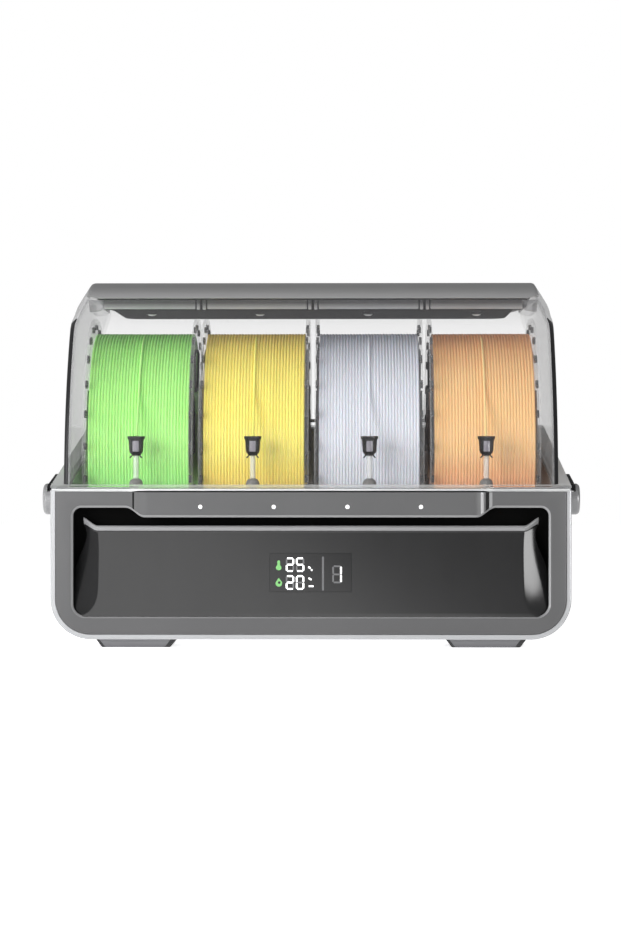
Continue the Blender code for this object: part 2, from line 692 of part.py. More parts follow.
def make_boards_and_ports():
    board = block("control_board", (-0.060, 0.075, 0.014), (0.060, 0.135, 0.0156), "board")
    lumps = [
        ((-0.045, 0.085, 0.015), (-0.030, 0.105, 0.027)), ((-0.015, 0.090, 0.015), (0.005, 0.110, 0.018)),
        ((0.025, 0.083, 0.015), (0.050, 0.090, 0.024)), ((0.020, 0.105, 0.015), (0.045, 0.128, 0.029)),
    ]
    for i, (low, high) in enumerate(lumps):
        combine(board, "UNION", block("board_lump_{}".format(i), low, high, "board"))
    inlet = block("power_inlet", (-0.1464, 0.1545, 0.0110), (-0.1150, 0.1567, 0.0354), "black")
    body = block("socket_body", (-0.1442, 0.130, 0.0132), (-0.1172, 0.1555, 0.0332), "black")
    cavity = block("socket_cavity", (-0.1427, 0.1360, 0.0152), (-0.1187, 0.160, 0.0312), "black")
    combine(inlet, "UNION", body)
    combine(inlet, "DIFFERENCE", cavity)
    for i, (x, z) in enumerate(((-0.1377, 0.0212), (-0.1237, 0.0212), (-0.1307, 0.0262))):
        pin = block("socket_pin_{}".format(i), (x - 0.001, 0.134, z - 0.002),
                    (x + 0.001, 0.1500, z + 0.002), "black")
        combine(inlet, "UNION", pin)
    outlets = block("outlet_block", (-0.0450, 0.1355, 0.0160), (0.0450, 0.1567, 0.0320), "black")
    for i in range(4):
        x = (i - 1.5) * 0.022
        bore = rod("outlet_bore_{}".format(i), 0.0022, "Y", (x, 0, 0.024), 0.1425, 0.160, "black", 12)
        combine(outlets, "DIFFERENCE", bore)


def hood_surface(offset, steps, extend):
    """Rings of the lid's outer form, moved inwards by offset and pushed down by extend.

    Each ring is the side profile at one width; at the sides it has shrunk along its own normals,
    which chamfers the front and rear edges and makes the wider shoulders at the top.
    """
    profile = smooth_curve(HOOD_PROFILE, steps)
    last = len(profile) - 1
    normals = []
    for i in range(last + 1):
        along = Vector(profile[min(i + 1, last)]) - Vector(profile[max(i - 1, 0)])
        normals.append(Vector((-along.y, along.x)).normalized())
    side = []
    for narrow in (1.0, 0.0):
        ring = []
        for (y, z), normal in zip(profile, normals):
            wide = ease((z - SHOULDER_Z[0]) / (SHOULDER_Z[1] - SHOULDER_Z[0]))
            drop = mix(SHOULDER_DROP, wide) * narrow
            run = mix(SHOULDER_RUN, wide) * (1 - narrow)
            place = Vector((y, z)) - normal * (drop + offset)
            ring.append((HOOD_HALF - offset - run, place.x, place.y))
        ring[0] = (ring[0][0], ring[0][1], ring[0][2] - extend)
        ring[-1] = (ring[-1][0], ring[-1][1], ring[-1][2] - extend)
        side.append(ring)
    return [[(-x, y, z) for x, y, z in ring] for ring in side] + list(reversed(side))


def below_plane(name, lift):
    """Everything under a plane that lies lift above the parting plane."""
    outline = [(-0.20, parting_z(-0.20) + lift), (0.20, parting_z(0.20) + lift), (0.20, 0.0), (-0.20, 0.0)]
    return prism(name, outline, "X", -0.25, 0.25, "clear")


def cap_region(name, grow):
    """The space of the lid's opaque cap, widened by grow, as seen from the front."""
    right = [
        (CAP_FLAT_X, CAP_EDGE_Z - grow), (CAP_TIP_X + grow, CAP_TIP_Z - grow), (CAP_TOP_X + grow, 0.30),
    ]
    outline = [(-x, z) for x, z in reversed(right)] + right
    return prism(name, outline, "Y", -0.15, 0.16, "clear")


def lid_form(name, offset, finish, extend=0.0):
    return loft(name, hood_surface(offset, 4, extend), finish, smooth=True)


def make_lid():
    hood = lid_form("lid_hood", 0.0, "clear")
    combine(hood, "DIFFERENCE", below_plane("hood_trim", 0.0014), cap_region("hood_top_cut", GAP))
    flange_low = 0.0008
    plan = [
        (-HALF_WIDTH, -0.1505), (-0.134, -0.1505), (-0.124, -0.156), (0.124, -0.156),
        (0.134, -0.1505), (HALF_WIDTH, -0.1505), (HALF_WIDTH, FLANGE_REAR_Y),
        (-HALF_WIDTH, FLANGE_REAR_Y),
    ]
    rings = [[(x, y, parting_z(y) + lift) for x, y in plan]
             for lift in (flange_low, flange_low + FLANGE_THICKNESS)]
    flange = loft("lid_flange", rings, "clear")
    hollow = lid_form("hood_hollow", HOOD_WALL, "clear", 0.030)
    combine(hood, "UNION", flange)
    combine(hood, "DIFFERENCE", hollow)
    heel_z = parting_z(FLANGE_REAR_Y)
    for side in (-1, 1):
        middle = side * HINGE_X
        outline = [(FLANGE_REAR_Y - 0.002, heel_z + flange_low + 0.0005)]
        outline += arc((HINGE_Y, HINGE_Z), HINGE_RADIUS, 250, 450, 10)
        outline += [(FLANGE_REAR_Y - 0.003, HINGE_Z + 0.006)]
        lug = prism("lid_lug_{}".format(side), outline, "X", middle - 0.010, middle + 0.010, "clear")
        combine(hood, "UNION", lug)
    bore = rod("lid_rod_bore", HINGE_ROD_RADIUS + GAP, "X", (0, HINGE_Y, HINGE_Z), -0.160, 0.160,
               "clear", 12)
    combine(hood, "DIFFERENCE", bore)
    cap = lid_form("lid_cap", 0.0, "cap_grey")
    combine(cap, "DIFFERENCE", lid_form("cap_hollow", HOOD_WALL, "cap_grey"))
    combine(cap, "INTERSECT", cap_region("cap_bounds", 0.0))
    hang(pivot("lid_axis", (0, HINGE_Y, HINGE_Z)), hood, cap, make_ceiling_panel(), make_gasket())
    rod("hinge_rod", HINGE_ROD_RADIUS, "X", (0, HINGE_Y, HINGE_Z), -0.1390, 0.1390, "steel", 12)


def make_ceiling_panel():
    front_y, rear_y, half, corner = -0.032, 0.108, 0.162, 0.022
    plan = [(-half, front_y), (half, front_y)]
    plan += arc((half - corner, rear_y - corner), corner, 0, 90, 5)
    plan += arc((corner - half, rear_y - corner), corner, 90, 180, 5)
    panel = prism("ceiling_panel", plan, "Z", 0.2525, 0.2605, "pale_grey")
    wall = 0.002
    pocket = [(wall - half, front_y + wall), (half - wall, front_y + wall)]
    pocket += arc((half - corner, rear_y - corner), corner - wall, 0, 90, 5)
    pocket += arc((corner - half, rear_y - corner), corner - wall, 90, 180, 5)
    hollow = prism("ceiling_pocket", pocket, "Z", 0.2545, 0.270, "pale_grey")
    combine(panel, "DIFFERENCE", hollow)
    for i in range(3):
        for side in (-1, 1):
            x = (i - 1) * REEL_PITCH + side * 0.004
            rib = block("ceiling_rib_{}_{}".format(i, side), (x - 0.0015, front_y - 0.002, 0.2525),
                        (x + 0.0015, front_y + 0.001, 0.2605), "pale_grey")
            combine(panel, "UNION", rib)
    return panel


def make_gasket():
    """A flat seal between the lid's flange and the body's rim."""
    def ring(inset, lift):
        half = 0.1835 - inset
        front_y = -0.1480 + inset
        rear_y = 0.1465 - inset
        corners = [(-half, front_y), (half, front_y), (half, rear_y), (-half, rear_y)]
        return [(x, y, parting_z(y) + lift) for x, y in corners]
    outer = loft("lid_gasket", [ring(0.0, -0.0002), ring(0.0, 0.0005)], "rubber")
    inner = loft("gasket_inside", [ring(0.003, -0.0102), ring(0.003, 0.0105)], "rubber")
    return combine(outer, "DIFFERENCE", inner)


def make_latches():
    for side, sign in (("left", -1), ("right", 1)):
        inner, outer = sorted((sign * KNOB_INNER_X, sign * KNOB_OUTER_X))
        face, root = sign * KNOB_OUTER_X, sign * KNOB_INNER_X
        profile = [
            (0.0, root), (KNOB_RADIUS, root), (KNOB_RADIUS, face - sign * 0.0022),
            (KNOB_RADIUS - 0.0008, face - sign * 0.0007), (KNOB_RADIUS - 0.0025, face), (0.0, face),
        ]
        knob = turned("latch_knob_" + side, profile, "X", (0, LATCH_Y, LATCH_Z), "silver", 24)
        low_x, high_x = sorted((sign * 0.1890, sign * 0.1952))
        notch = block("knob_notch_" + side, (low_x, LATCH_Y - 0.013, LATCH_Z + 0.0055),
                      (high_x, LATCH_Y + 0.013, LATCH_Z + 0.013), "silver")
        combine(knob, "DIFFERENCE", notch)
        outline = [
            (-0.1270, LATCH_Z + 0.0060), (-0.1130, LATCH_Z + 0.0060), (-0.1080, 0.1150),
            (-0.0740, 0.1190), (-0.0730, 0.1230), (-0.0770, 0.1255), (-0.1180, 0.1195),
            (-0.1270, 0.1180),
        ]
        low_x, high_x = sorted((sign * 0.1912, sign * 0.1948))
        lever = prism("latch_lever_" + side, outline, "X", low_x, high_x, "black")
        hang(pivot("latch_axis_" + side, ((inner + outer) / 2, LATCH_Y, LATCH_Z)), knob, lever)


def lift(height):
    """Raises every piece, guide and pivot; hung pieces follow their pivots."""
    for item in bpy.data.objects:
        if item.parent is None:
            item.location.z += height


def main():
    clear_scene()
    make_lower_housing()
    make_front_bezel()
    make_front_panel()
    make_display()
    make_status_light_guide()
    make_feet()
    make_bay_tray()
    make_rollers()
    make_reels()
    make_filament_path()
    make_air_heater()
    make_boards_and_ports()
    make_lid()
    make_latches()
    lift(DATUM_Z)


main()
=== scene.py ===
"""Looks of the four-reel filament dryer box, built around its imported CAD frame.

Metres, +Z up, front towards -Y. The shapes repeat the CAD's driving sizes at a finer step, with
rounded edges, ribs, turns of filament and display segments that the CAD leaves out.
"""
import math

import bmesh
import bpy
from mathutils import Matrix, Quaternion, Vector


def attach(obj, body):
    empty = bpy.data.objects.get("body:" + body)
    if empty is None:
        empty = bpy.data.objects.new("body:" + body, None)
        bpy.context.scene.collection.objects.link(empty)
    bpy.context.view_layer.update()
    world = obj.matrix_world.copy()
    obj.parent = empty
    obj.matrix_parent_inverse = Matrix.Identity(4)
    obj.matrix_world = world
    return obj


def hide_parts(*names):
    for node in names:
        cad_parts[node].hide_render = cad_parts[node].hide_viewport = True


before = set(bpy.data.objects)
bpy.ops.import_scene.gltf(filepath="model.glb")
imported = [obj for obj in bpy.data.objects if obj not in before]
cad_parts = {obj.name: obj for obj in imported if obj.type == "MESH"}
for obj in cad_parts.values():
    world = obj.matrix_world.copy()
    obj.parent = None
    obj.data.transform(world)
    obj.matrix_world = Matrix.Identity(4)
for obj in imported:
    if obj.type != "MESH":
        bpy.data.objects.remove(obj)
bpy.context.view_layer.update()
scene = bpy.context.scene

# Heights below are measured from this level above the table, as in the CAD
DATUM_Z = 0.0020

HALF_WIDTH = 0.1905
LEDGE_FRONT_Y = -0.157
SHELL_FRONT_Y = -0.151
REAR_Y = 0.157
FOOT_HEIGHT = 0.0046
SHELL_RADIUS = 0.0295
SHELL_WALL = 0.0035
REAR_RADIUS = 0.008
GAP = 0.0003
PARTING_FRONT_Z = 0.113
PARTING_SLOPE = 0.165
SEAL_GROOVE = 0.0005

BEZEL_FACE_Y = -0.152
BEZEL_PLATE = 0.0025
RECESS_BACK_Y = -0.131
RECESS_HALF = 0.1738
RECESS_FLOOR_Z = 0.0218
RECESS_TOP_Z = 0.101
RECESS_LOW_TOP_Z = 0.094
RECESS_LOW_RADIUS = 0.009
RECESS_CHAMFER = 0.0017
RECESS_HIGH_RADIUS = 0.006
# The ledge's ends: distance from the middle, and how far the face lies behind the ledge's front
LEDGE_CURVE = [
    (0.1180, 0.0), (0.1195, 0.0001), (0.1210, 0.00035), (0.1225, 0.0008), (0.1240, 0.0014),
    (0.1255, 0.0021), (0.1266, 0.0028), (0.1278, 0.0037), (0.1290, 0.0044), (0.1303, 0.0047),
    (0.1312, 0.0049), (0.1326, 0.00497), (0.1340, 0.0050),
]
# Columns of the ledge's outline, from the left, given a painted highlight and painted shade to draw its
# bright and dark grooves
LEDGE_PAINTED_HIGHLIGHT = (18, 19, 23, 24)
LEDGE_PAINTED_SHADE = (4, 21, 22)
BEZEL_TOP_Z = 0.1125
LEDGE_TOP_Z = 0.1122
# The S-curve at both ends of the recess's top edge
RECESS_RISE_OUTER_X = 0.1373
RECESS_RISE_WIDTH = 0.018
RECESS_RISE_START_X = 0.1213
RECESS_RISE_LENGTH = 0.014
PANEL_TOP_Z = 0.088
PANEL_LEAN = 0.0065
PANEL_RISE = 0.0065
PANEL_CLEARANCE = 0.0005
PANEL_THICKNESS = 0.0025
PANEL_SKIRT = 0.0011
WAIST_Z = 0.079
WAIST_DEPTH = 0.0088
WAIST_RETURN = 0.45
SCOOP_HALF_INNER = 0.1555
SCOOP_DEPTH = 0.0092
SCOOP_MIDDLE_Z = 0.052
LIGHT_X = (-0.0805, -0.0269, 0.0269, 0.0805)
LIGHT_Z = 0.1016
LIGHT_HOLE_RADIUS = 0.0016
LENS_HALF = 0.030
LENS_LOW_Z = 0.0394
LENS_HIGH_Z = 0.0676
LENS_GAP = 0.00006

HOOD_HALF = 0.1815
HOOD_WALL = 0.0025
HOOD_PROFILE = [
    (-0.1475, 0.105), (-0.1385, 0.160), (-0.1180, 0.208), (-0.0850, 0.2515), (-0.0560, 0.2675),
    (-0.0070, 0.2745), (0.0730, 0.2720), (0.1060, 0.2650), (0.1280, 0.2400), (0.1390, 0.190),
    (0.1405, 0.150),
]
SHOULDER_Z = (0.234, 0.264)
SHOULDER_DROP = (0.003, 0.0175)
SHOULDER_RUN = (0.003, 0.0110)
CAP_EDGE_Z = 0.2585
CAP_FLAT_X = 0.163
CAP_TIP_X = 0.1725
CAP_TIP_Z = 0.2612
CAP_TOP_X = 0.1700
SKIN_INSET = 0.00004
HINGE_Y = 0.150
HINGE_Z = 0.1695
HINGE_RADIUS = 0.0045
HINGE_BORE = 0.0018
HINGE_X = 0.120
FLANGE_REAR_Y = 0.143
LIP_TOP_Z = 0.1148
LIP_THICKNESS = 0.0008
CEILING_LOW_Z = 0.2524
CEILING_TOP_Z = 0.2606

REEL_PITCH = 0.0863
REEL_X = [(i - 1.5) * REEL_PITCH for i in range(4)]
REEL_Y = -0.020
REEL_Z = 0.146
REEL_RADIUS = 0.100
REEL_RIM_SLOTS = 24
REEL_WINDOWS = 5
REEL_HALF = 0.0411
REEL_FLANGE = 0.003
REEL_BORE = 0.026
REEL_BARREL = 0.040
WINDING_RADIUS = 0.0885
WINDING_TURNS = 33
STRAND_RADIUS = 0.000875
INLET_Y = -0.127
DECK_Z = 0.112
FUNNEL_LOW_Z = 0.139
FUNNEL_TOP_Z = 0.1535
STRAND_AIM_Z = 0.148
FEEDER_TOP_Z = 0.1065
LATCH_Y = -0.120
LATCH_Z = 0.107
KNOB_RADIUS = 0.0115
KNOB_INNER_X = 0.1908
KNOB_OUTER_X = 0.1985
COLOUR_NAMES = ["green", "yellow", "lavender", "orange"]


# Camera

def make_camera():
    data = bpy.data.cameras.new("camera")
    data.lens = 106.2
    data.sensor_width = 36.0
    camera = bpy.data.objects.new("camera", data)
    scene.collection.objects.link(camera)
    camera.location = (0.0293, -2.157, 0.1338)
    aim = Vector((0.0, LEDGE_FRONT_Y, 0.1338)) - camera.location
    camera.rotation_euler = aim.to_track_quat("-Z", "Y").to_euler()
    scene.camera = camera


# Materials

class Nodes:
    """A material's node tree with short calls for the nodes used here."""

    def __init__(self, name):
        self.material = bpy.data.materials.new(name)
        self.material.use_nodes = True
        self.tree = self.material.node_tree
        self.shader = self.tree.nodes["Principled BSDF"]
        place = self.tree.nodes.new("ShaderNodeTexCoord")
        self.object = place.outputs["Object"]

    def link(self, source, target):
        self.tree.links.new(source, target)

    def drive(self, socket, source):
        self.link(source, self.shader.inputs[socket])

    def set(self, **sockets):
        for name, value in sockets.items():
            self.shader.inputs[name.replace("_", " ")].default_value = value

    def noise(self, size, detail=3.0, stretch=(1, 1, 1)):
        mapping = self.tree.nodes.new("ShaderNodeMapping")
        mapping.inputs["Scale"].default_value = stretch
        self.link(self.object, mapping.inputs["Vector"])
        made = self.tree.nodes.new("ShaderNodeTexNoise")
        made.inputs["Scale"].default_value = 1.0 / size
        made.inputs["Detail"].default_value = detail
        self.link(mapping.outputs["Vector"], made.inputs["Vector"])
        return made.outputs["Fac"]

    def range(self, source, low, high, start=0.3, end=0.7):
        made = self.tree.nodes.new("ShaderNodeMapRange")
        made.inputs["From Min"].default_value = start
        made.inputs["From Max"].default_value = end
        made.inputs["To Min"].default_value = low
        made.inputs["To Max"].default_value = high
        self.link(source, made.inputs["Value"])
        return made.outputs["Result"]

    def blend(self, factor, first, second):
        made = self.tree.nodes.new("ShaderNodeMix")
        made.data_type = "RGBA"
        self.link(factor, made.inputs["Factor"])
        for value, socket in ((first, made.inputs["A"]), (second, made.inputs["B"])):
            if isinstance(value, bpy.types.NodeSocket):
                self.link(value, socket)
            else:
                socket.default_value = (*value, 1.0)
        return made.outputs["Result"]

    def bump(self, source, strength, distance):
        made = self.tree.nodes.new("ShaderNodeBump")
        made.inputs["Strength"].default_value = strength
        made.inputs["Distance"].default_value = distance
        self.link(source, made.inputs["Height"])
        self.link(made.outputs["Normal"], self.shader.inputs["Normal"])

    def combine(self, operation, first, second):
        made = self.tree.nodes.new("ShaderNodeMath")
        made.operation = operation
        self.link(first, made.inputs[0])
        self.link(second, made.inputs[1])
        return made.outputs["Value"]

    def height(self, low, high):
        """0 to 1 over a range of heights."""
        made = self.tree.nodes.new("ShaderNodeSeparateXYZ")
        self.link(self.object, made.inputs["Vector"])
        return self.range(made.outputs["Z"], 0.0, 1.0, low, high)

    def facing(self, weight):
        made = self.tree.nodes.new("ShaderNodeLayerWeight")
        made.inputs["Blend"].default_value = weight
        return made.outputs["Facing"]


def shade(colour, factor):
    return tuple(min(channel * factor, 1.0) for channel in colour)


def plastic(name, colour, roughness, metallic=0.0, mottle=0.05, grain=0.25, grain_size=0.0006,
            sheen_spread=0.06, **sockets):
    """Moulded or painted material: slow tone drift, gloss drift, handling marks and a fine grain."""
    nodes = Nodes(name)
    slow = nodes.noise(0.045, 4.0)
    smudge = nodes.noise(0.012, 6.0, (1.0, 1.0, 0.4))
    fine = nodes.noise(grain_size, 2.0)
    tone = nodes.blend(nodes.range(slow, 0.0, 1.0), shade(colour, 1 - mottle), shade(colour, 1 + mottle))
    speck = nodes.blend(nodes.range(fine, 0.0, 0.35, 0.55, 0.8), tone, shade(colour, 1.25))
    nodes.drive("Base Color", speck if grain > 0.2 else tone)
    gloss = nodes.range(smudge, roughness - sheen_spread / 2, roughness + sheen_spread / 2)
    nodes.drive("Roughness", gloss)
    nodes.bump(fine, grain, 0.00006)
    nodes.set(Metallic=metallic, **sockets)
    return nodes.material


def shaded_plastic(name, low_z, low, high_z, high, roughness):
    """Moulding with painted shade: its tone changes with height, from low at low_z to high at high_z."""
    nodes = Nodes(name)
    tone = nodes.blend(nodes.height(low_z, high_z), low, high)
    fine = nodes.noise(0.0006, 2.0)
    tone = nodes.blend(nodes.range(fine, 0.0, 0.15), tone, shade(high, 1.2))
    nodes.drive("Base Color", tone)
    gloss = nodes.range(nodes.noise(0.02, 3.0), roughness, roughness + 0.06)
    nodes.drive("Roughness", gloss)
    nodes.bump(fine, 0.12, 0.00005)
    return nodes.material


def clear_plastic(name, colour, low_alpha, high_alpha, roughness, weight=0.35, painted_glow_band=None):
    """See-through plastic that closes up towards its edges, with faint flow marks.

    The last argument is (full_z, none_z, alpha): a pale band of painted light that fades with height.
    """
    nodes = Nodes(name)
    flow = nodes.noise(0.06, 3.0, (1.0, 0.5, 0.5))
    mark = nodes.noise(0.004, 5.0)
    tone = nodes.blend(nodes.range(flow, 0.0, 1.0), shade(colour, 0.94), shade(colour, 1.04))
    alpha = nodes.range(nodes.facing(weight), low_alpha, high_alpha, 0.0, 1.0)
    if painted_glow_band:
        # Painted light: a pale band that fades with height
        glow_band_mask = nodes.height(painted_glow_band[1], painted_glow_band[0])
        tone = nodes.blend(glow_band_mask, tone, (0.85, 0.85, 0.85))
        alpha = nodes.combine("ADD", alpha, nodes.range(glow_band_mask, 0.0, painted_glow_band[2], 0.0, 1.0))
    nodes.drive("Base Color", tone)
    nodes.drive("Roughness", nodes.range(mark, roughness, roughness + 0.03))
    nodes.drive("Alpha", alpha)
    nodes.bump(flow, 0.08, 0.0004)
    nodes.set(IOR=1.49)
    return nodes.material


def filament_plastic(name, colour, deep_tone_and_shade, painted_low_light, painted_shade_amount=0.62):
    """Wound strand: each turn differs a little; upper turns seen edge-on take painted shade in a deeper
    colour, and turns low on the reel a painted light tone.
    """
    nodes = Nodes(name)
    turn = nodes.noise(0.0060, 1.0, (1.0, 0.02, 0.02))
    slow = nodes.noise(0.05, 2.0)
    tone = nodes.blend(nodes.range(turn, 0.0, 1.0, 0.25, 0.75), shade(colour, 0.96), shade(colour, 1.03))
    tone = nodes.blend(nodes.range(slow, 0.0, 0.10), tone, deep_tone_and_shade)
    # Painted shade: upper turns seen edge-on blend to the deeper colour
    upper = nodes.height(REEL_Z, REEL_Z + 0.030)
    painted_shade_mask = nodes.combine("MULTIPLY", upper, nodes.range(nodes.facing(0.5), 0.0, painted_shade_amount, 0.25, 0.90))
    tone = nodes.blend(painted_shade_mask, tone, shade(deep_tone_and_shade, 0.95))
    # Painted light: turns low on the reel blend to a brighter tone
    below = nodes.height(REEL_Z, REEL_Z - 0.035)
    tone = nodes.blend(below, tone, painted_low_light)
    nodes.drive("Base Color", tone)
    nodes.drive("Emission Color", tone)
    # Painted glow: both masks drive a faint emission on the upper and low turns
    through = nodes.combine("MAXIMUM", below, painted_shade_mask)
    nodes.drive("Emission Strength", nodes.range(through, 0.0, PAINTED_GLOW))
    nodes.drive("Roughness", nodes.range(turn, 0.30, 0.42))
    nodes.bump(nodes.noise(0.0012, 2.0, (1.0, 0.05, 0.05)), 0.05, 0.0001)
    nodes.set(Subsurface_Weight=0.10, Subsurface_Scale=0.002)
    return nodes.material


def glowing(name, colour, strength):
    nodes = Nodes(name)
    patch = nodes.range(nodes.noise(0.0015, 2.0), 0.0, 1.0)
    tone = nodes.blend(patch, shade(colour, 0.92), colour)
    nodes.drive("Base Color", tone)
    nodes.drive("Emission Color", tone)
    nodes.set(Emission_Strength=strength, Roughness=0.3)
    return nodes.material


def circuit_board(name):
    nodes = Nodes(name)
    trace = nodes.range(nodes.noise(0.003, 0.0, (1.0, 0.15, 1.0)), 0.0, 1.0, 0.52, 0.56)
    tone = nodes.blend(trace, (0.01, 0.11, 0.05), (0.03, 0.24, 0.11))
    nodes.drive("Base Color", tone)
    nodes.drive("Roughness", nodes.range(trace, 0.35, 0.5))
    nodes.bump(trace, 0.3, 0.0001)
    return nodes.material


def brushed(name, colour, roughness, stretch):
    nodes = Nodes(name)
    scratch = nodes.noise(0.0008, 2.0, stretch)
    tone = nodes.blend(nodes.range(scratch, 0.0, 1.0), shade(colour, 0.88), shade(colour, 1.08))
    nodes.drive("Base Color", tone)
    nodes.drive("Roughness", nodes.range(scratch, roughness - 0.06, roughness + 0.08))
    nodes.bump(scratch, 0.15, 0.00005)
    nodes.set(Metallic=1.0)
    return nodes.material


# Each filament's colour seen from the front; a deeper colour, for slow tone drift and for painted shade
# where the turns are seen edge-on; and a painted light tone for turns low on the reel
FILAMENTS = {
    "green": ((0.42, 0.86, 0.24), (0.22, 0.72, 0.12), (0.44, 0.98, 0.32)),
    "yellow": ((0.90, 0.80, 0.18), (0.98, 0.62, 0.12), (1.00, 0.74, 0.20)),
    "lavender": ((0.72, 0.74, 0.80), (0.47, 0.49, 0.60), (0.80, 0.82, 0.88)),
    "orange": ((0.92, 0.61, 0.29), (0.96, 0.30, 0.14), (1.00, 0.50, 0.30)),
}
# A faint painted glow on the upper and low turns that stands for light passing through them
PAINTED_GLOW = 0.13


def make_materials():
    made = {
        "silver": plastic("silver_paint", (0.385, 0.39, 0.40), 0.34, 0.25, 0.02, 0.10, 0.0003),
        "bezel": plastic("bezel_graphite", (0.092, 0.092, 0.094), 0.42, 0.0, 0.03, 0.30, 0.0005,
                         Specular_IOR_Level=0.30),
        # A lighter copy of the bezel graphite: painted highlight on the recess rim and the ledge's bright
        # grooves
        "edge_highlight": plastic("bezel_painted_highlight", (0.26, 0.26, 0.265), 0.30, 0.0, 0.02, 0.10, 0.0005),
        "panel": plastic("panel_gloss", (0.010, 0.010, 0.0104), 0.17, 0.0, 0.05, 0.03, 0.0008, 0.02,
                         Specular_IOR_Level=0.42),
        # A near-black copy of the bezel graphite: painted shade in the ledge's dark grooves
        "riser": plastic("bezel_painted_shade", (0.004, 0.004, 0.004), 0.50, 0.0, 0.03, 0.20, 0.0005,
                         Specular_IOR_Level=0.1),
        "knob": plastic("knob_satin", (0.25, 0.25, 0.255), 0.34, 0.25, 0.02, 0.10, 0.0003),
        # A lighter copy of the gloss panel: painted highlight on its rolled top lip
        "lip": plastic("panel_lip_painted_highlight", (0.24, 0.24, 0.245), 0.24, 0.0, 0.03, 0.06, 0.0008, 0.03),
        "black": plastic("black_plastic", (0.012, 0.012, 0.013), 0.45, 0.0, 0.05, 0.25, 0.0005),
        "lever": plastic("lever_black", (0.008, 0.008, 0.009), 0.60, 0.0, 0.05, 0.25, 0.0005,
                         Specular_IOR_Level=0.15),
        # Near-black: painted shade on the recess walls
        "slot": plastic("recess_painted_shade", (0.003, 0.003, 0.003), 0.8, 0.0, 0.05, 0.25, 0.0005,
                        Specular_IOR_Level=0.05),
        "lens": plastic("display_glass", (0.004, 0.004, 0.0045), 0.14, 0.0, 0.05, 0.0, 0.001, 0.02,
                        Specular_IOR_Level=0.40),
        # Painted shade: the cap darkens towards its top
        "cap": shaded_plastic("cap_graphite", 0.2595, (0.36, 0.36, 0.362), 0.2715,
                              (0.20, 0.20, 0.202), 0.36),
        "tray": plastic("tray_grey", (0.30, 0.30, 0.305), 0.45, 0.0, 0.03, 0.25, 0.0006),
        # Painted shade: the fascia darkens towards its top, under the cap
        "fascia": shaded_plastic("fascia_grey", 0.2540, (0.66, 0.66, 0.665), 0.2596,
                                 (0.09, 0.09, 0.092), 0.45),
        "under": plastic("ceiling_dark", (0.030, 0.030, 0.031), 0.85, 0.0, 0.03, 0.25, 0.0006,
                         Specular_IOR_Level=0.05),
        # Painted shade: the pads darken towards the floor
        "foot": shaded_plastic("foot_rubber_painted_shade", -0.0015, (0.085, 0.085, 0.092), 0.0035,
                               (0.17, 0.17, 0.178), 0.60),
        "seal": plastic("seal_rubber", (0.02, 0.02, 0.02), 0.65, 0.0, 0.05, 0.4, 0.0007),
        "rubber": plastic("roller_rubber", (0.025, 0.025, 0.025), 0.75, 0.0, 0.08, 0.5, 0.0006),
        "board": circuit_board("circuit_board"),
        "steel": brushed("ground_steel", (0.62, 0.62, 0.64), 0.24, (0.05, 1.0, 1.0)),
        "fins": brushed("heater_fins", (0.74, 0.74, 0.76), 0.32, (1.0, 0.05, 1.0)),
        # Painted light: a faint pale band along the hood's bottom edge
        "hood": clear_plastic("hood_clear", (0.27, 0.27, 0.28), 0.012, 0.36, 0.03,
                              painted_glow_band=(0.118, 0.130, 0.01)),
        # Painted shade: near-black on the lower front of the lid's chamfer
        "hood_edge_painted_shade": plastic("hood_edge_painted_shade", (0.010, 0.010, 0.011), 0.30, 0.0, 0.05, 0.0, 0.001, 0.05,
                             Specular_IOR_Level=0.25),
        # Painted glow: whitish clear along the lid's front edge
        "hood_lip_painted_glow": clear_plastic("hood_lip_painted_glow", (0.68, 0.69, 0.69), 0.86, 0.96, 0.05),
        # Painted shade: greyer clear on the chamfer and along the flange's lower front
        "hood_line_painted_shade": clear_plastic("hood_line_painted_shade", (0.25, 0.25, 0.26), 0.40, 0.70, 0.05),
        # Painted shade on the upper chamfer rings; the ceiling's end brackets are of this smoky clear too
        "smoky_clear_and_corner_shade": clear_plastic("smoky_clear_and_corner_shade", (0.28, 0.28, 0.29), 0.34, 0.70, 0.05),
        # Painted glow: whitish clear on the flange's sides, rear, top and bottom
        "flange": clear_plastic("hood_flange_painted_glow", (0.80, 0.81, 0.81), 0.60, 0.90, 0.05),
        "reel": clear_plastic("reel_clear", (0.85, 0.85, 0.86), 0.08, 0.25, 0.10),
        # Painted shade: dark walls in the clear reel's slots
        "reel_mark": plastic("reel_slot", (0.02, 0.02, 0.022), 0.4, 0.0, 0.05, 0.2),
        "tube": clear_plastic("feed_tube", (0.92, 0.93, 0.92), 0.30, 0.60, 0.15),
        "fitting": plastic("tube_fitting", (0.20, 0.195, 0.19), 0.4, 0.0, 0.04, 0.2),
        # Painted highlight: a lighter patch on the black funnels
        "funnel_core": plastic("funnel_core", (0.22, 0.21, 0.24), 0.25, 0.0, 0.05, 0.1, 0.0006),
        "white": glowing("digit_white", (1.0, 1.0, 1.0), 1.0),
        "ghost": glowing("digit_ghost", (0.10, 0.10, 0.104), 0.45),
        "icon": glowing("icon_green", (0.16, 0.42, 0.135), 0.32),
        "status": glowing("status_light", (1.0, 1.0, 1.0), 0.9),
        "lamp": glowing("lamp_face", (0.75, 0.75, 0.74), 0.30),
    }
    for name, (colour, deep_tone_and_shade, painted_low_light) in FILAMENTS.items():
        made[name] = filament_plastic("filament_" + name, colour, deep_tone_and_shade, painted_low_light)
    return made


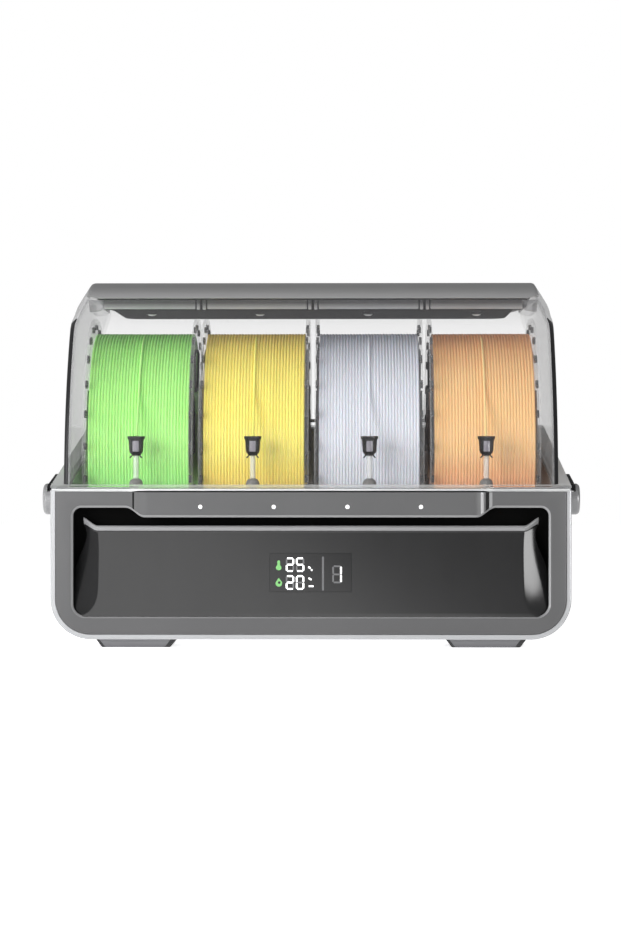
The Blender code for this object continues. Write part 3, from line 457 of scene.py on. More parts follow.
def make_strand_materials():
    """Painted light: the loose ends get lighter copies of the turns' colours, a little brighter than the
    turns.
    """
    for name, (colour, _, painted_low_light) in FILAMENTS.items():
        painted_lit_colour, painted_lit_deep = shade(colour, 1.25), shade(colour, 1.1)
        M[name + "_strand"] = filament_plastic("strand_" + name, painted_lit_colour, painted_lit_deep, painted_low_light)


# Mesh helpers

def lifted(points):
    return [(x, y, z + DATUM_Z) for x, y, z in points]


def solid(name, points, faces, materials, picks=None, sharp=30, smooth=True):
    """An object from points and faces; picks gives each face's index into materials."""
    mesh = bpy.data.meshes.new(name)
    shape = bmesh.new()
    corners = [shape.verts.new(point) for point in lifted(points)]
    for number, face in enumerate(faces):
        made = shape.faces.new([corners[i] for i in face])
        made.material_index = picks[number] if picks else 0
    bmesh.ops.recalc_face_normals(shape, faces=shape.faces)
    shape.to_mesh(mesh)
    shape.free()
    item = bpy.data.objects.new(name, mesh)
    scene.collection.objects.link(item)
    for material in materials:
        mesh.materials.append(material)
    if smooth:
        mesh.shade_smooth()
        mesh.set_sharp_from_angle(angle=math.radians(sharp))
    return item


def loft(name, rings, materials, pick=None, ends=0, **options):
    """A closed solid through rings of equally many points; pick(row, column) gives the material."""
    count = len(rings[0])
    points = [point for ring in rings for point in ring]
    faces = [list(range(count)), list(range(len(points) - count, len(points)))]
    picks = [ends, ends]
    for row in range(len(rings) - 1):
        low = row * count
        for i in range(count):
            j = (i + 1) % count
            faces.append([low + i, low + j, low + count + j, low + count + i])
            picks.append(pick(row, i) if pick else 0)
    return solid(name, points, faces, materials, picks, **options)


def prism(name, outline, axis, low, high, materials, **options):
    place = {
        "X": lambda a, b, t: (t, a, b),
        "Y": lambda a, b, t: (a, t, b),
        "Z": lambda a, b, t: (a, b, t),
    }[axis]
    return loft(name, [[place(a, b, t) for a, b in outline] for t in (low, high)], materials, **options)


def block(name, low, high, materials):
    outline = [(low[0], low[1]), (high[0], low[1]), (high[0], high[1]), (low[0], high[1])]
    return prism(name, outline, "Z", low[2], high[2], materials)


def turned(name, profile, axis, centre, materials, segments=64, pick=None, wobble=None, **options):
    """A profile of (radius, distance) turned about an axis; pick(row) gives a row's material."""
    first, second = {"X": (1, 2), "Y": (2, 0), "Z": (0, 1)}[axis]
    along = "XYZ".index(axis)
    points = []
    rows = []
    for radius, distance in profile:
        row = []
        for i in range(1 if radius == 0.0 else segments):
            angle = 2 * math.pi * i / segments
            reach = radius + (wobble(angle, distance) if wobble and radius else 0.0)
            point = list(centre)
            point[along] += distance
            point[first] += reach * math.cos(angle)
            point[second] += reach * math.sin(angle)
            row.append(len(points))
            points.append(point)
        rows.append(row)
    pairs = list(zip(rows, rows[1:]))
    if profile[0][0] != 0.0:
        pairs.append((rows[-1], rows[0]))
    faces = []
    picks = []
    for number, (row, after) in enumerate(pairs):
        for i in range(segments):
            j = (i + 1) % segments
            corner = [row[i % len(row)], row[j % len(row)], after[j % len(after)], after[i % len(after)]]
            faces.append(list(dict.fromkeys(corner)))
            picks.append(pick(number) if pick else 0)
    return solid(name, points, faces, materials, picks, **options)


def rod(name, radius, axis, centre, low, high, materials, segments=48, edge=0.0):
    profile = [(0.0, low), (radius - edge, low), (radius, low + edge), (radius, high - edge),
               (radius - edge, high), (0.0, high)]
    if edge == 0.0:
        profile = [profile[0], profile[1], profile[4], profile[5]]
    return turned(name, profile, axis, centre, materials, segments)


def carve(target, operation, *tools, sharp=30):
    """Applies a Boolean with each tool in turn, and removes the tools."""
    for tool in tools:
        step = target.modifiers.new("carve", "BOOLEAN")
        step.operation = operation
        step.solver = "EXACT"
        step.object = tool
        settle(target)
        bpy.data.objects.remove(tool, do_unlink=True)
    target.data.shade_smooth()
    target.data.set_sharp_from_angle(angle=math.radians(sharp))
    return target


def settle(item):
    """Applies an object's modifiers to its mesh."""
    bpy.context.view_layer.update()
    graph = bpy.context.evaluated_depsgraph_get()
    mesh = bpy.data.meshes.new_from_object(item.evaluated_get(graph))
    item.modifiers.clear()
    item.data = mesh


def join(name, pieces):
    """Joins pieces into one object of separate bodies, keeping their materials."""
    target = pieces[0]
    with bpy.context.temp_override(active_object=target, selected_editable_objects=pieces):
        bpy.ops.object.join()
    target.name = name
    return target


def soften(item, width, segments=2, angle=35):
    """A rounded edge on every corner sharper than angle."""
    step = item.modifiers.new("soft_edges", "BEVEL")
    step.width = width
    step.segments = segments
    step.limit_method = "ANGLE"
    step.angle_limit = math.radians(angle)
    step.harden_normals = True
    step.use_clamp_overlap = True
    return item


def place(item, body, slot, *nodes):
    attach(item, body)
    if nodes:
        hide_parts(*nodes)
    return item


def arc(centre, radius, start, end, steps):
    made = []
    for i in range(steps + 1):
        angle = math.radians(start + (end - start) * i / steps)
        made.append((centre[0] + radius * math.cos(angle), centre[1] + radius * math.sin(angle)))
    return made


def smooth_curve(points, steps):
    """A Catmull-Rom curve through points, with steps pieces between each two."""
    padded = [points[0]] + list(points) + [points[-1]]
    made = []
    for i in range(1, len(padded) - 2):
        a, b, c, d = (Vector(padded[i + k]) for k in (-1, 0, 1, 2))
        for step in range(steps):
            t = step / steps
            made.append(0.5 * (2 * b + (c - a) * t + (2 * a - 5 * b + 4 * c - d) * t ** 2
                               + (3 * b - a - 3 * c + d) * t ** 3))
    made.append(Vector(points[-1]))
    return [tuple(point) for point in made]


def ease(t):
    t = min(max(t, 0.0), 1.0)
    return t * t * (3 - 2 * t)


def mix(pair, t):
    return pair[0] + (pair[1] - pair[0]) * t


def parting_z(y):
    return PARTING_FRONT_Z + PARTING_SLOPE * (y - LEDGE_FRONT_Y)


def tub_outline(half, floor_z, radius, top_z, steps=20):
    right = arc((half - radius, floor_z + radius), radius, 0, -90, steps)
    left = arc((radius - half, floor_z + radius), radius, -90, -180, steps)
    return [(half, top_z)] + right + left + [(-half, top_z)]


def shell_ring(y, inset, top_z):
    outline = tub_outline(HALF_WIDTH - inset, FOOT_HEIGHT + inset, SHELL_RADIUS - inset, top_z)
    return [(x, y, z) for x, z in outline]


# Body

def hinge_bore(materials):
    return rod("bore", HINGE_BORE, "X", (0, HINGE_Y, HINGE_Z), -0.16, 0.16, materials, 24)


def make_housing():
    silver = [M["silver"]]
    stations = []
    for degrees in (0, 30, 60, 90):
        turn = math.radians(degrees)
        stations.append((SHELL_FRONT_Y + 0.0014 * (1 - math.sin(turn)), 0.0014 * (1 - math.cos(turn))))
    stations = [(y, inset) for y, inset in reversed(stations)]
    for degrees in (0, 15, 30, 45, 60, 75, 90):
        turn = math.radians(degrees)
        stations.append((REAR_Y - REAR_RADIUS * (1 - math.sin(turn)),
                         REAR_RADIUS * 0.6 * (1 - math.cos(turn))))
    rings = [shell_ring(y, inset, parting_z(y) - SEAL_GROOVE) for y, inset in stations]
    housing = loft("housing_shell", rings, silver)
    hollow = [shell_ring(y, SHELL_WALL, 0.180) for y in (-0.160, REAR_Y - SHELL_WALL)]
    cavity = loft("cavity", hollow, silver)
    socket = block("socket_cut", (-0.1467, 0.150, 0.0107), (-0.1147, 0.160, 0.0357), silver)
    outlet = block("outlet_cut", (-0.0453, 0.150, 0.0157), (0.0453, 0.160, 0.0323), silver)
    carve(housing, "DIFFERENCE", cavity, socket, outlet)
    for side in (-1, 1):
        for offset in (-0.0145, 0.0145):
            middle = side * (HINGE_X + offset)
            outline = [(0.1562, 0.150), (0.1508, 0.150), (0.1508, 0.1645)]
            outline += arc((HINGE_Y, HINGE_Z), HINGE_RADIUS, 250, 20, 20) + [(0.1562, 0.1675)]
            lug = prism("lug", outline, "X", middle - 0.004, middle + 0.004, silver)
            carve(housing, "UNION", lug)
    carve(housing, "DIFFERENCE", hinge_bore(silver))
    place(housing, "base", "silver_plastic", "lower_housing")


def recess_top(x):
    return mix((RECESS_LOW_TOP_Z, RECESS_TOP_Z), ease((abs(x) - RECESS_RISE_START_X) / RECESS_RISE_LENGTH))


def recess_outline(grow):
    half = RECESS_HALF + grow
    floor_z = RECESS_FLOOR_Z - grow
    low = RECESS_LOW_RADIUS + grow
    high = RECESS_HIGH_RADIUS + grow
    top_z = RECESS_TOP_Z + grow
    right = arc((half - low, floor_z + low), low, -90, 0, 14)
    right += arc((half - high, top_z - high), high, 0, 90, 12)
    for i in range(15):
        x = RECESS_RISE_OUTER_X - RECESS_RISE_WIDTH * i / 14
        right.append((x, recess_top(x) + grow))
    return right + [(-x, z) for x, z in reversed(right)]


def bezel_front_y(x):
    """The bezel's face: the ledge in the middle, curving back towards both ends."""
    for (near_x, near_drop), (far_x, far_drop) in zip(LEDGE_CURVE, LEDGE_CURVE[1:]):
        if abs(x) < far_x:
            reach = max((abs(x) - near_x) / (far_x - near_x), 0.0)
            return LEDGE_FRONT_Y + mix((near_drop, far_drop), reach)
    return BEZEL_FACE_Y


def make_bezel():
    skins = [M["bezel"], M["edge_highlight"], M["slot"], M["riser"]]
    inner = HALF_WIDTH - SHELL_WALL - GAP
    rings = []
    for inset, y in ((0.0006, BEZEL_FACE_Y), (0.0002, BEZEL_FACE_Y + 0.0002), (0.0, BEZEL_FACE_Y + 0.0007),
                     (0.0, BEZEL_FACE_Y + BEZEL_PLATE)):
        outline = tub_outline(inner - inset, FOOT_HEIGHT + SHELL_WALL + GAP + inset,
                              SHELL_RADIUS - SHELL_WALL - GAP - inset, BEZEL_TOP_Z)
        rings.append([(x, y, z) for x, z in outline])
    bezel = loft("bezel_shell", rings, skins)
    walls = prism("walls", recess_outline(0.002), "Y", BEZEL_FACE_Y + 0.001, RECESS_BACK_Y, skins)
    steps = [(-LEDGE_CURVE[-1][0], BEZEL_FACE_Y + 0.0012)]
    steps += [(-x, LEDGE_FRONT_Y + drop) for x, drop in reversed(LEDGE_CURVE)]
    outline = steps + [(-x, y) for x, y in reversed(steps)]
    # Painted highlight and shade on chosen columns of the ledge's curved ends
    ledge = prism("ledge", outline, "Z", RECESS_LOW_TOP_Z - 0.002, LEDGE_TOP_Z, skins,
                  pick=lambda row, i: 3 if i in LEDGE_PAINTED_SHADE else (1 if i in LEDGE_PAINTED_HIGHLIGHT else 0))
    carve(bezel, "UNION", walls, ledge)
    flare = []
    for depth, grow in ((None, RECESS_CHAMFER), (-0.0002, RECESS_CHAMFER), (0.0016, 0.0), (0.0030, 0.0)):
        ring = []
        for x, z in recess_outline(grow):
            ring.append((x, -0.170 if depth is None else bezel_front_y(x) + depth, z))
        flare.append(ring)
    flare.append([(x, RECESS_BACK_Y - 0.002, z) for x, z in recess_outline(0.0)])
    # The recess's second ring takes the painted highlight; its walls take painted shade
    recess = loft("recess", flare, skins, pick=lambda row, i: 1 if row == 1 else 2, ends=2)
    carve(bezel, "DIFFERENCE", recess)
    for x in LIGHT_X:
        hole = rod("hole", LIGHT_HOLE_RADIUS, "Y", (x, 0, LIGHT_Z), -0.16, -0.145, skins, 24)
        carve(bezel, "DIFFERENCE", hole)
    place(bezel, "base", "bezel_graphite", "front_bezel")


def panel_face_y(x, z):
    rise = (z - RECESS_FLOOR_Z) / (PANEL_TOP_Z - RECESS_FLOOR_Z)
    face = BEZEL_FACE_Y + 0.0005 + PANEL_LEAN * min(rise, 1.0)
    reach = (z - SCOOP_MIDDLE_Z) / (0.030 if z < SCOOP_MIDDLE_Z else 0.056)
    edge_x = RECESS_HALF - (RECESS_HALF - SCOOP_HALF_INNER) * math.sqrt(max(1 - reach ** 4, 0.0))
    if abs(x) <= edge_x:
        return face
    across = min((abs(x) - edge_x) / (RECESS_HALF - SCOOP_HALF_INNER), 1.0)
    return face + SCOOP_DEPTH * (0.85 * across + 0.15 * across ** 2) * mix((0.45, 1.0), ease(rise * 1.2))


def panel_top_z(x):
    return PANEL_TOP_Z + PANEL_RISE * ease((abs(x) - 0.1560) / 0.0130)


def panel_half(z):
    low = RECESS_LOW_RADIUS
    drop = min(max(low - (z - RECESS_FLOOR_Z - PANEL_CLEARANCE), 0.0), low)
    waist = ease((z - SCOOP_MIDDLE_Z) / (WAIST_Z - SCOOP_MIDDLE_Z)) if z < WAIST_Z else 1.0
    waist -= WAIST_RETURN * ease((z - WAIST_Z) / (PANEL_TOP_Z - WAIST_Z))
    return RECESS_HALF - PANEL_CLEARANCE - low + math.sqrt(low ** 2 - drop ** 2) - WAIST_DEPTH * waist


def make_panel():
    """The gloss panel: a leaning face with scooped ends and a rolled lip along its top."""
    columns = [-1 + 0.13 * (i / 40) for i in range(41)]
    middle = [-0.87 + 1.74 * i / 24 for i in range(1, 24)]
    columns = columns + middle + [-value for value in reversed(columns)]
    rows = [0.0, 0.004, 0.012] + [0.03 + 0.91 * i / 44 for i in range(45)]
    lip_start = 0.945
    points = []
    grid = []
    for v in rows:
        grid.append([])
        for u in columns:
            z_middle = mix((RECESS_FLOOR_Z + PANEL_CLEARANCE, PANEL_TOP_Z), v)
            x = u * panel_half(z_middle)
            z = z_middle + (panel_top_z(x) - PANEL_TOP_Z) * v ** 3
            skirt = PANEL_SKIRT * max(1 - v / 0.012, 0.0)
            grid[-1].append((x * (1 + skirt / RECESS_HALF), panel_face_y(x, z), z - skirt))
    for turn in range(0, 181, 15):
        angle = math.radians(turn)
        grid.append([])
        for u in columns:
            z_middle = mix((RECESS_FLOOR_Z + PANEL_CLEARANCE, PANEL_TOP_Z), lip_start)
            x = u * panel_half(z_middle)
            lift = panel_top_z(x) - PANEL_TOP_Z
            root = panel_face_y(x, z_middle + lift)
            middle_z = z_middle + lift + 0.0018
            proud = 0.0013 * math.cos(angle)
            grid[-1].append((x, root + 0.0005 - proud, middle_z + 0.0018 * math.sin(angle) - 0.0002))
    grid.append([(x, y + 0.0008, z - 0.0040) for x, y, z in grid[-1]])
    flat = [point for row in grid for point in row]
    width = len(columns)
    back = []
    for x, y, z in flat[:width * len(rows)]:
        back.append((x, panel_face_y(x, min(z, 0.0855)) + PANEL_THICKNESS, z))
    lip_rows = len(grid) - len(rows)
    faces = []
    picks = []
    for row in range(len(grid) - 1):
        for column in range(width - 1):
            a = row * width + column
            faces.append([a, a + 1, a + width + 1, a + width])
            # The rolled lip rows take the lighter material, a painted highlight
            picks.append(1 if row >= len(rows) - 1 else 0)
    total = len(flat)
    points = flat + back
    for row in range(len(rows) - 1):
        for column in range(width - 1):
            a = total + row * width + column
            faces.append([a, a + width, a + width + 1, a + 1])
            picks.append(0)
    last_front = total - width
    last_back = total + (len(rows) - 1) * width
    for column in range(width - 1):
        front, behind = last_front + column, last_back + column
        faces.append([front, front + 1, behind + 1, behind])
        faces.append([column, total + column, total + column + 1, column + 1])
        picks += [0, 0]
    for column in (0, width - 1):
        for row in range(len(rows) - 1):
            a = row * width + column
            faces.append([a, a + width, total + a + width, total + a])
            picks.append(0)
        rim = [row * width + column for row in range(len(rows) - 1, len(rows) + lip_rows)]
        faces.append(rim + [last_back + column])
        picks.append(1)
    panel = solid("panel_shell", points, faces, [M["panel"], M["lip"]], picks, sharp=50)
    window = block("window", (-LENS_HALF - LENS_GAP, -0.160, LENS_LOW_Z - LENS_GAP),
                   (LENS_HALF + LENS_GAP, -0.130, LENS_HIGH_Z + LENS_GAP), [M["panel"]])
    carve(panel, "DIFFERENCE", window, sharp=50)
    place(panel, "base", "panel_gloss", "front_panel")


# Display

SEGMENTS = {
    "a": ((0, 1), (1, 1)), "b": ((1, 1), (1, 0.5)), "c": ((1, 0.5), (1, 0)), "d": ((0, 0), (1, 0)),
    "e": ((0, 0), (0, 0.5)), "f": ((0, 0.5), (0, 1)), "g": ((0, 0.5), (1, 0.5)),
}
DIGITS = {"0": "abcdef", "1": "bc", "2": "abged", "5": "afgcd"}
GLYPH_PROUD = 0.00012


def on_lens(outline, name, material, proud=GLYPH_PROUD):
    """A thin flat shape just proud of the display's leaning face."""
    rings = []
    for depth in (-proud, 0.00004):
        rings.append([(x, panel_face_y(x, z) + depth, z) for x, z in outline])
    return loft(name, rings, [material], smooth=False)


def stroke(start, end, half):
    """A six-sided bar from start to end with pointed ends."""
    a, b = Vector(start), Vector(end)
    along = (b - a).normalized()
    side = Vector((-along.y, along.x)) * half
    a = a + along * half * 0.35
    b = b - along * half * 0.35
    return [tuple(p) for p in (a, a + along * half * 0.7 + side, b - along * half * 0.7 + side, b,
                               b - along * half * 0.7 - side, a + along * half * 0.7 - side)]


def digit(text, left, low, width, height, half, lit, ghost, name):
    made = []
    for segment, (start, end) in SEGMENTS.items():
        on = segment in DIGITS[text]
        if not on and ghost is None:
            continue
        ends = [(left + half + u * (width - 2 * half), low + half + v * (height - 2 * half))
                for u, v in (start, end)]
        made.append(on_lens(stroke(ends[0], ends[1], half), name + segment, lit if on else ghost))
    return join(name, made)


def make_display():
    rings = []
    for depth, inset in ((0.0, 0.0001), (0.0001, 0.0), (0.0015, 0.0)):
        ring = []
        for x, z in ((-LENS_HALF + inset, LENS_LOW_Z + inset), (LENS_HALF - inset, LENS_LOW_Z + inset),
                     (LENS_HALF - inset, LENS_HIGH_Z - inset), (-LENS_HALF + inset, LENS_HIGH_Z - inset)):
            ring.append((x, panel_face_y(x, z) + depth, z))
        rings.append(ring)
    place(loft("lens_plate", rings, [M["lens"]]), "base", "display_glass", "display_lens")
    glyphs = []
    for row, (text, low) in enumerate((("25", 0.0540), ("20", 0.0410))):
        for column, letter in enumerate(text):
            left = -0.0182 + column * 0.0074
            glyphs.append(digit(letter, left, low, 0.0061, 0.0105, 0.00060, M["white"], M["ghost"],
                                "digit_{}_{}".format(row, column)))
    glyphs.append(digit("1", 0.0158, 0.0457, 0.0070, 0.0130, 0.00062, M["white"], M["ghost"], "digit_reel"))
    divider = stroke((0.0090, 0.0400), (0.0090, 0.0655), 0.0007)
    glyphs.append(on_lens(divider, "display_divider", M["ghost"]))
    marks = [((-0.0020, 0.0580), (0.0002, 0.0562)), ((0.0002, 0.0562), (0.0012, 0.0545)),
             ((-0.0020, 0.0497), (0.0010, 0.0481)), ((-0.0018, 0.0436), (0.0024, 0.0436))]
    for number, (start, end) in enumerate(marks):
        glyphs.append(on_lens(stroke(start, end, 0.0006), "unit_mark_{}".format(number), M["white"]))
    stem = arc((-0.0234, 0.0614), 0.0010, 0, 180, 8) + [(-0.0244, 0.0588)]
    stem += arc((-0.0234, 0.0571), 0.0020, 135, 405, 14) + [(-0.0224, 0.0588)]
    glyphs.append(on_lens(stem, "warmth_icon", M["icon"]))
    drop = arc((-0.0233, 0.0456), 0.0024, 150, 390, 14) + [(-0.0233, 0.0497)]
    glyphs.append(on_lens(drop, "moisture_icon", M["icon"]))
    hole = arc((-0.0230, 0.0462), 0.0010, 0, 345, 11)
    glyphs.append(on_lens(hole, "moisture_icon_middle", M["lens"], 0.00018))
    for glyph in glyphs:
        place(glyph, "base", "display_glass")
    guide = block("guide_bar", (-0.086, -0.1486, 0.0990), (0.086, -0.1464, 0.1042), [M["status"]])
    place(guide, "base", "light_guide", "status_light_guide")
    for number, x in enumerate(LIGHT_X, 1):
        profile = [(0.0, -0.1472), (0.0011, -0.1472), (0.0011, -0.1567), (0.0008, -0.1569), (0.0, -0.1570)]
        dot = turned("status_light_{}".format(number), profile, "Y", (x, 0, LIGHT_Z), [M["status"]], 24)
        place(dot, "base", "light_guide")


# Feet and latches

def make_feet():
    """Grey pads in black carriers that show at both ends of each pad."""
    for end, y in (("front", -0.137), ("rear", 0.097)):
        for side, sign in (("left", -1), ("right", 1)):
            outer, inner = sorted((sign * 0.1585, sign * 0.0990))
            for kind, margin, proud in (("carrier", 0.0, 0.0), ("pad", 0.0026, 0.0004)):
                rings = []
                for inset, height in ((0.0, FOOT_HEIGHT - GAP), (0.0040, -DATUM_Z + 0.0008),
                                      (0.0047, -DATUM_Z + 0.0001), (0.0056, -DATUM_Z)):
                    edge = min(inset, 0.0008) - proud
                    left, right = outer + inset + margin, inner - inset - margin * 1.6
                    top = height - (0.0003 if kind == "pad" and inset == 0.0 else 0.0)
                    rings.append([(left, y + edge, top), (right, y + edge, top),
                                  (right, y + 0.040 - edge, top), (left, y + 0.040 - edge, top)])
                foot = loft("foot_{}_{}_{}".format(kind, end, side), rings,
                            [M["foot"] if kind == "pad" else M["black"]], sharp=60)
                nodes = ("foot_{}_{}".format(end, side),) if kind == "carrier" else ()
                place(foot, "base", "foot_grey", *nodes)


def make_latches():
    for side, sign in (("left", -1), ("right", 1)):
        root, face = KNOB_INNER_X, KNOB_OUTER_X
        profile = [(0.0, root), (KNOB_RADIUS - 0.0008, root), (KNOB_RADIUS, root + 0.0008),
                   (KNOB_RADIUS, face - 0.0028)]
        profile += [(KNOB_RADIUS - 0.0028 + r, face - 0.0028 + t)
                    for r, t in arc((0.0, 0.0), 0.0028, 15, 90, 6)]
        profile += [(0.0074, face), (0.0070, face - 0.0006), (0.0062, face - 0.0006),
                    (0.0058, face - 0.0001), (0.0, face - 0.0001)]
        profile = [(radius, sign * distance) for radius, distance in profile]
        knob = turned("knob_" + side, profile, "X", (0, LATCH_Y, LATCH_Z), [M["knob"]], 64)
        low_x, high_x = sorted((sign * 0.1890, sign * 0.1952))
        notch = block("notch", (low_x, LATCH_Y - 0.013, LATCH_Z + 0.0055),
                      (high_x, LATCH_Y + 0.013, LATCH_Z + 0.013), [M["knob"]])
        carve(knob, "DIFFERENCE", notch)
        place(knob, "latch_" + side, "silver_plastic", "latch_knob_" + side)
        outline = [
            (-0.1270, LATCH_Z + 0.0060), (-0.1130, LATCH_Z + 0.0060), (-0.1080, 0.1150),
            (-0.0740, 0.1190), (-0.0730, 0.1230), (-0.0770, 0.1255), (-0.1180, 0.1195), (-0.1270, 0.1180),
        ]
        low_x, high_x = sorted((sign * 0.1912, sign * 0.1948))
        lever = prism("lever_" + side, outline, "X", low_x, high_x, [M["lever"]])
        soften(lever, 0.0007, 3)
        place(lever, "latch_" + side, "black_plastic", "latch_lever_" + side)


# Lid

# Each ring's share of the chamfer's run and drop, and its further run in metres
CHAMFER = [
    (0.0, 1.10, 0.0), (0.02, 0.99, 0.0), (0.10, 0.87, 0.0), (0.50, 0.46, 0.0), (0.88, 0.10, 0.0),
    (0.98, 0.02, 0.0), (1.10, 0.0, 0.0), (1.10, 0.0, 0.0014),
]


def hood_surface(offset, steps, extend):
    """Rings of the lid's outer form: the side profile, chamfered towards both sides."""
    profile = smooth_curve(HOOD_PROFILE, steps)
    last = len(profile) - 1
    side = []
    for narrow, deep_tone_and_shade, further in CHAMFER:
        ring = []
        for i, (y, z) in enumerate(profile):
            along = Vector(profile[min(i + 1, last)]) - Vector(profile[max(i - 1, 0)])
            normal = Vector((-along.y, along.x)).normalized()
            wide = ease((z - SHOULDER_Z[0]) / (SHOULDER_Z[1] - SHOULDER_Z[0]))
            drop = mix(SHOULDER_DROP, wide) * deep_tone_and_shade
            run = mix(SHOULDER_RUN, wide) * narrow + further
            spot = Vector((y, z)) - normal * (drop + offset)
            ring.append((HOOD_HALF - offset - run, spot.x, spot.y))
        for end in (0, -1):
            ring[end] = (ring[end][0], ring[end][1], ring[end][2] - extend)
        side.append(ring)
    return [[(-x, y, z) for x, y, z in ring] for ring in side] + list(reversed(side))


def lid_form(name, offset, materials, extend=0.0, pick=None):
    return loft(name, hood_surface(offset + SKIN_INSET, 8, extend), materials, pick=pick)


def cap_region(grow, materials):
    right = [
        (CAP_FLAT_X, CAP_EDGE_Z - grow), (CAP_TIP_X + grow, CAP_TIP_Z - grow), (CAP_TOP_X + grow, 0.30),
    ]
    outline = [(-x, z) for x, z in reversed(right)] + right
    return prism("region", outline, "Y", -0.15, 0.16, materials)


def make_hood():
    skins = [M["hood"], M["hood_edge_painted_shade"], M["flange"], M["hood_line_painted_shade"], M["smoky_clear_and_corner_shade"]]
    last = 2 * len(CHAMFER) - 2

    # Painted shade on the chamfer rings seen edge-on: near-black low on the front, greyer clear beside it
    # and further up
    def skin(row, i):
        inwards = min(row, last - row)
        if i >= 22:
            return {1: 3, 2: 4, 3: 4, 4: 4, 5: 4, 6: 4}.get(inwards, 0) if i < 34 else 0
        return {1: 1, 2: 1, 3: 1, 4: 1, 5: 1, 6: 3}.get(inwards, 0)

    hood = lid_form("hood_shell", 0.0, skins, pick=skin)
    outline = [(y, parting_z(y) + 0.0014) for y in (-0.20, 0.20)] + [(0.20, 0.0), (-0.20, 0.0)]
    trim = prism("trim", outline, "X", -0.25, 0.25, skins)
    carve(hood, "DIFFERENCE", trim, cap_region(GAP, skins))
    plan = [
        (-HALF_WIDTH, -0.1495), (-HALF_WIDTH + 0.001, -0.1505), (-0.134, -0.1505), (-0.131, -0.1520),
        (-0.126, -0.1550), (-0.122, -0.156),
    ]
    plan += [(-x, y) for x, y in reversed(plan)]
    plan += [(HALF_WIDTH, FLANGE_REAR_Y), (-HALF_WIDTH, FLANGE_REAR_Y)]
    front = len(plan) - 3
    rings = []
    for lift, inset in ((0.0010, 0.0004), (0.0014, 0.0), (0.0019, 0.0), (0.0026, 0.0), (0.0030, 0.0004)):
        scale = (HALF_WIDTH - inset) / HALF_WIDTH
        rings.append([(x * scale, y * scale, parting_z(y) + lift) for x, y in plan])
    # Painted glow on the flange's sides, rear, top and bottom; painted shade on the two lowest rows of its
    # front
    flange = loft("flange", rings, skins, pick=lambda row, i: 2 if i >= front else (3 if row < 2 else 0))
    flange.data.polygons[0].material_index = 2
    flange.data.polygons[1].material_index = 2
    carve(hood, "UNION", flange)
    carve(hood, "DIFFERENCE", lid_form("hollow", HOOD_WALL, skins, 0.030))
    heel_z = parting_z(FLANGE_REAR_Y)
    for side in (-1, 1):
        middle = side * HINGE_X
        outline = [(FLANGE_REAR_Y - 0.002, heel_z + 0.0013)]
        outline += arc((HINGE_Y, HINGE_Z), HINGE_RADIUS, 250, 450, 24)
        outline += [(FLANGE_REAR_Y - 0.003, HINGE_Z + 0.006)]
        carve(hood, "UNION", prism("lug", outline, "X", middle - 0.010, middle + 0.010, skins))
    carve(hood, "DIFFERENCE", hinge_bore(skins))
    place(hood, "lid", "hood_clear", "lid_hood")
    # A thin whitish strip along the lid's front edge: painted glow of the clear edge
    rings = []
    for t, inset in ((0.0, 0.0002), (0.2, 0.0), (0.8, 0.0), (1.0, 0.0002)):
        ring = [(x, y + inset) for x, y in plan[1:front]]
        ring += [(x, y + LIP_THICKNESS - 2 * inset) for x, y in reversed(ring)]
        rings.append([(x, y, mix((0.1127 if abs(x) > 0.130 else 0.1134, LIP_TOP_Z), t)) for x, y in ring])
    place(loft("hood_lip_painted_glow", rings, [M["hood_lip_painted_glow"]]), "lid", "hood_clear")
    lip = block("seal_lip", (-0.1865, -0.1496, 0.1121), (0.1865, -0.1484, 0.1149), [M["seal"]])
    place(lip, "base", "seal_rubber")


def make_cap():
    skins = [M["cap"]]
    cap = lid_form("cap_shell", 0.0, skins)
    carve(cap, "DIFFERENCE", lid_form("hollow", HOOD_WALL, skins))
    carve(cap, "INTERSECT", cap_region(0.0, skins))
    place(cap, "lid", "cap_graphite", "lid_cap")
    dark = [M["seal"]]
    seam = lid_form("cap_seam", HOOD_WALL + 0.0001, dark)
    carve(seam, "DIFFERENCE", lid_form("hollow", HOOD_WALL + 0.0012, dark))
    bounds = block("bounds", (-CAP_FLAT_X, -0.15, CAP_EDGE_Z - 0.0009),
                   (CAP_FLAT_X, 0.0, CAP_EDGE_Z + 0.0008), dark)
    carve(seam, "INTERSECT", bounds)
    place(seam, "lid", "seal_rubber")


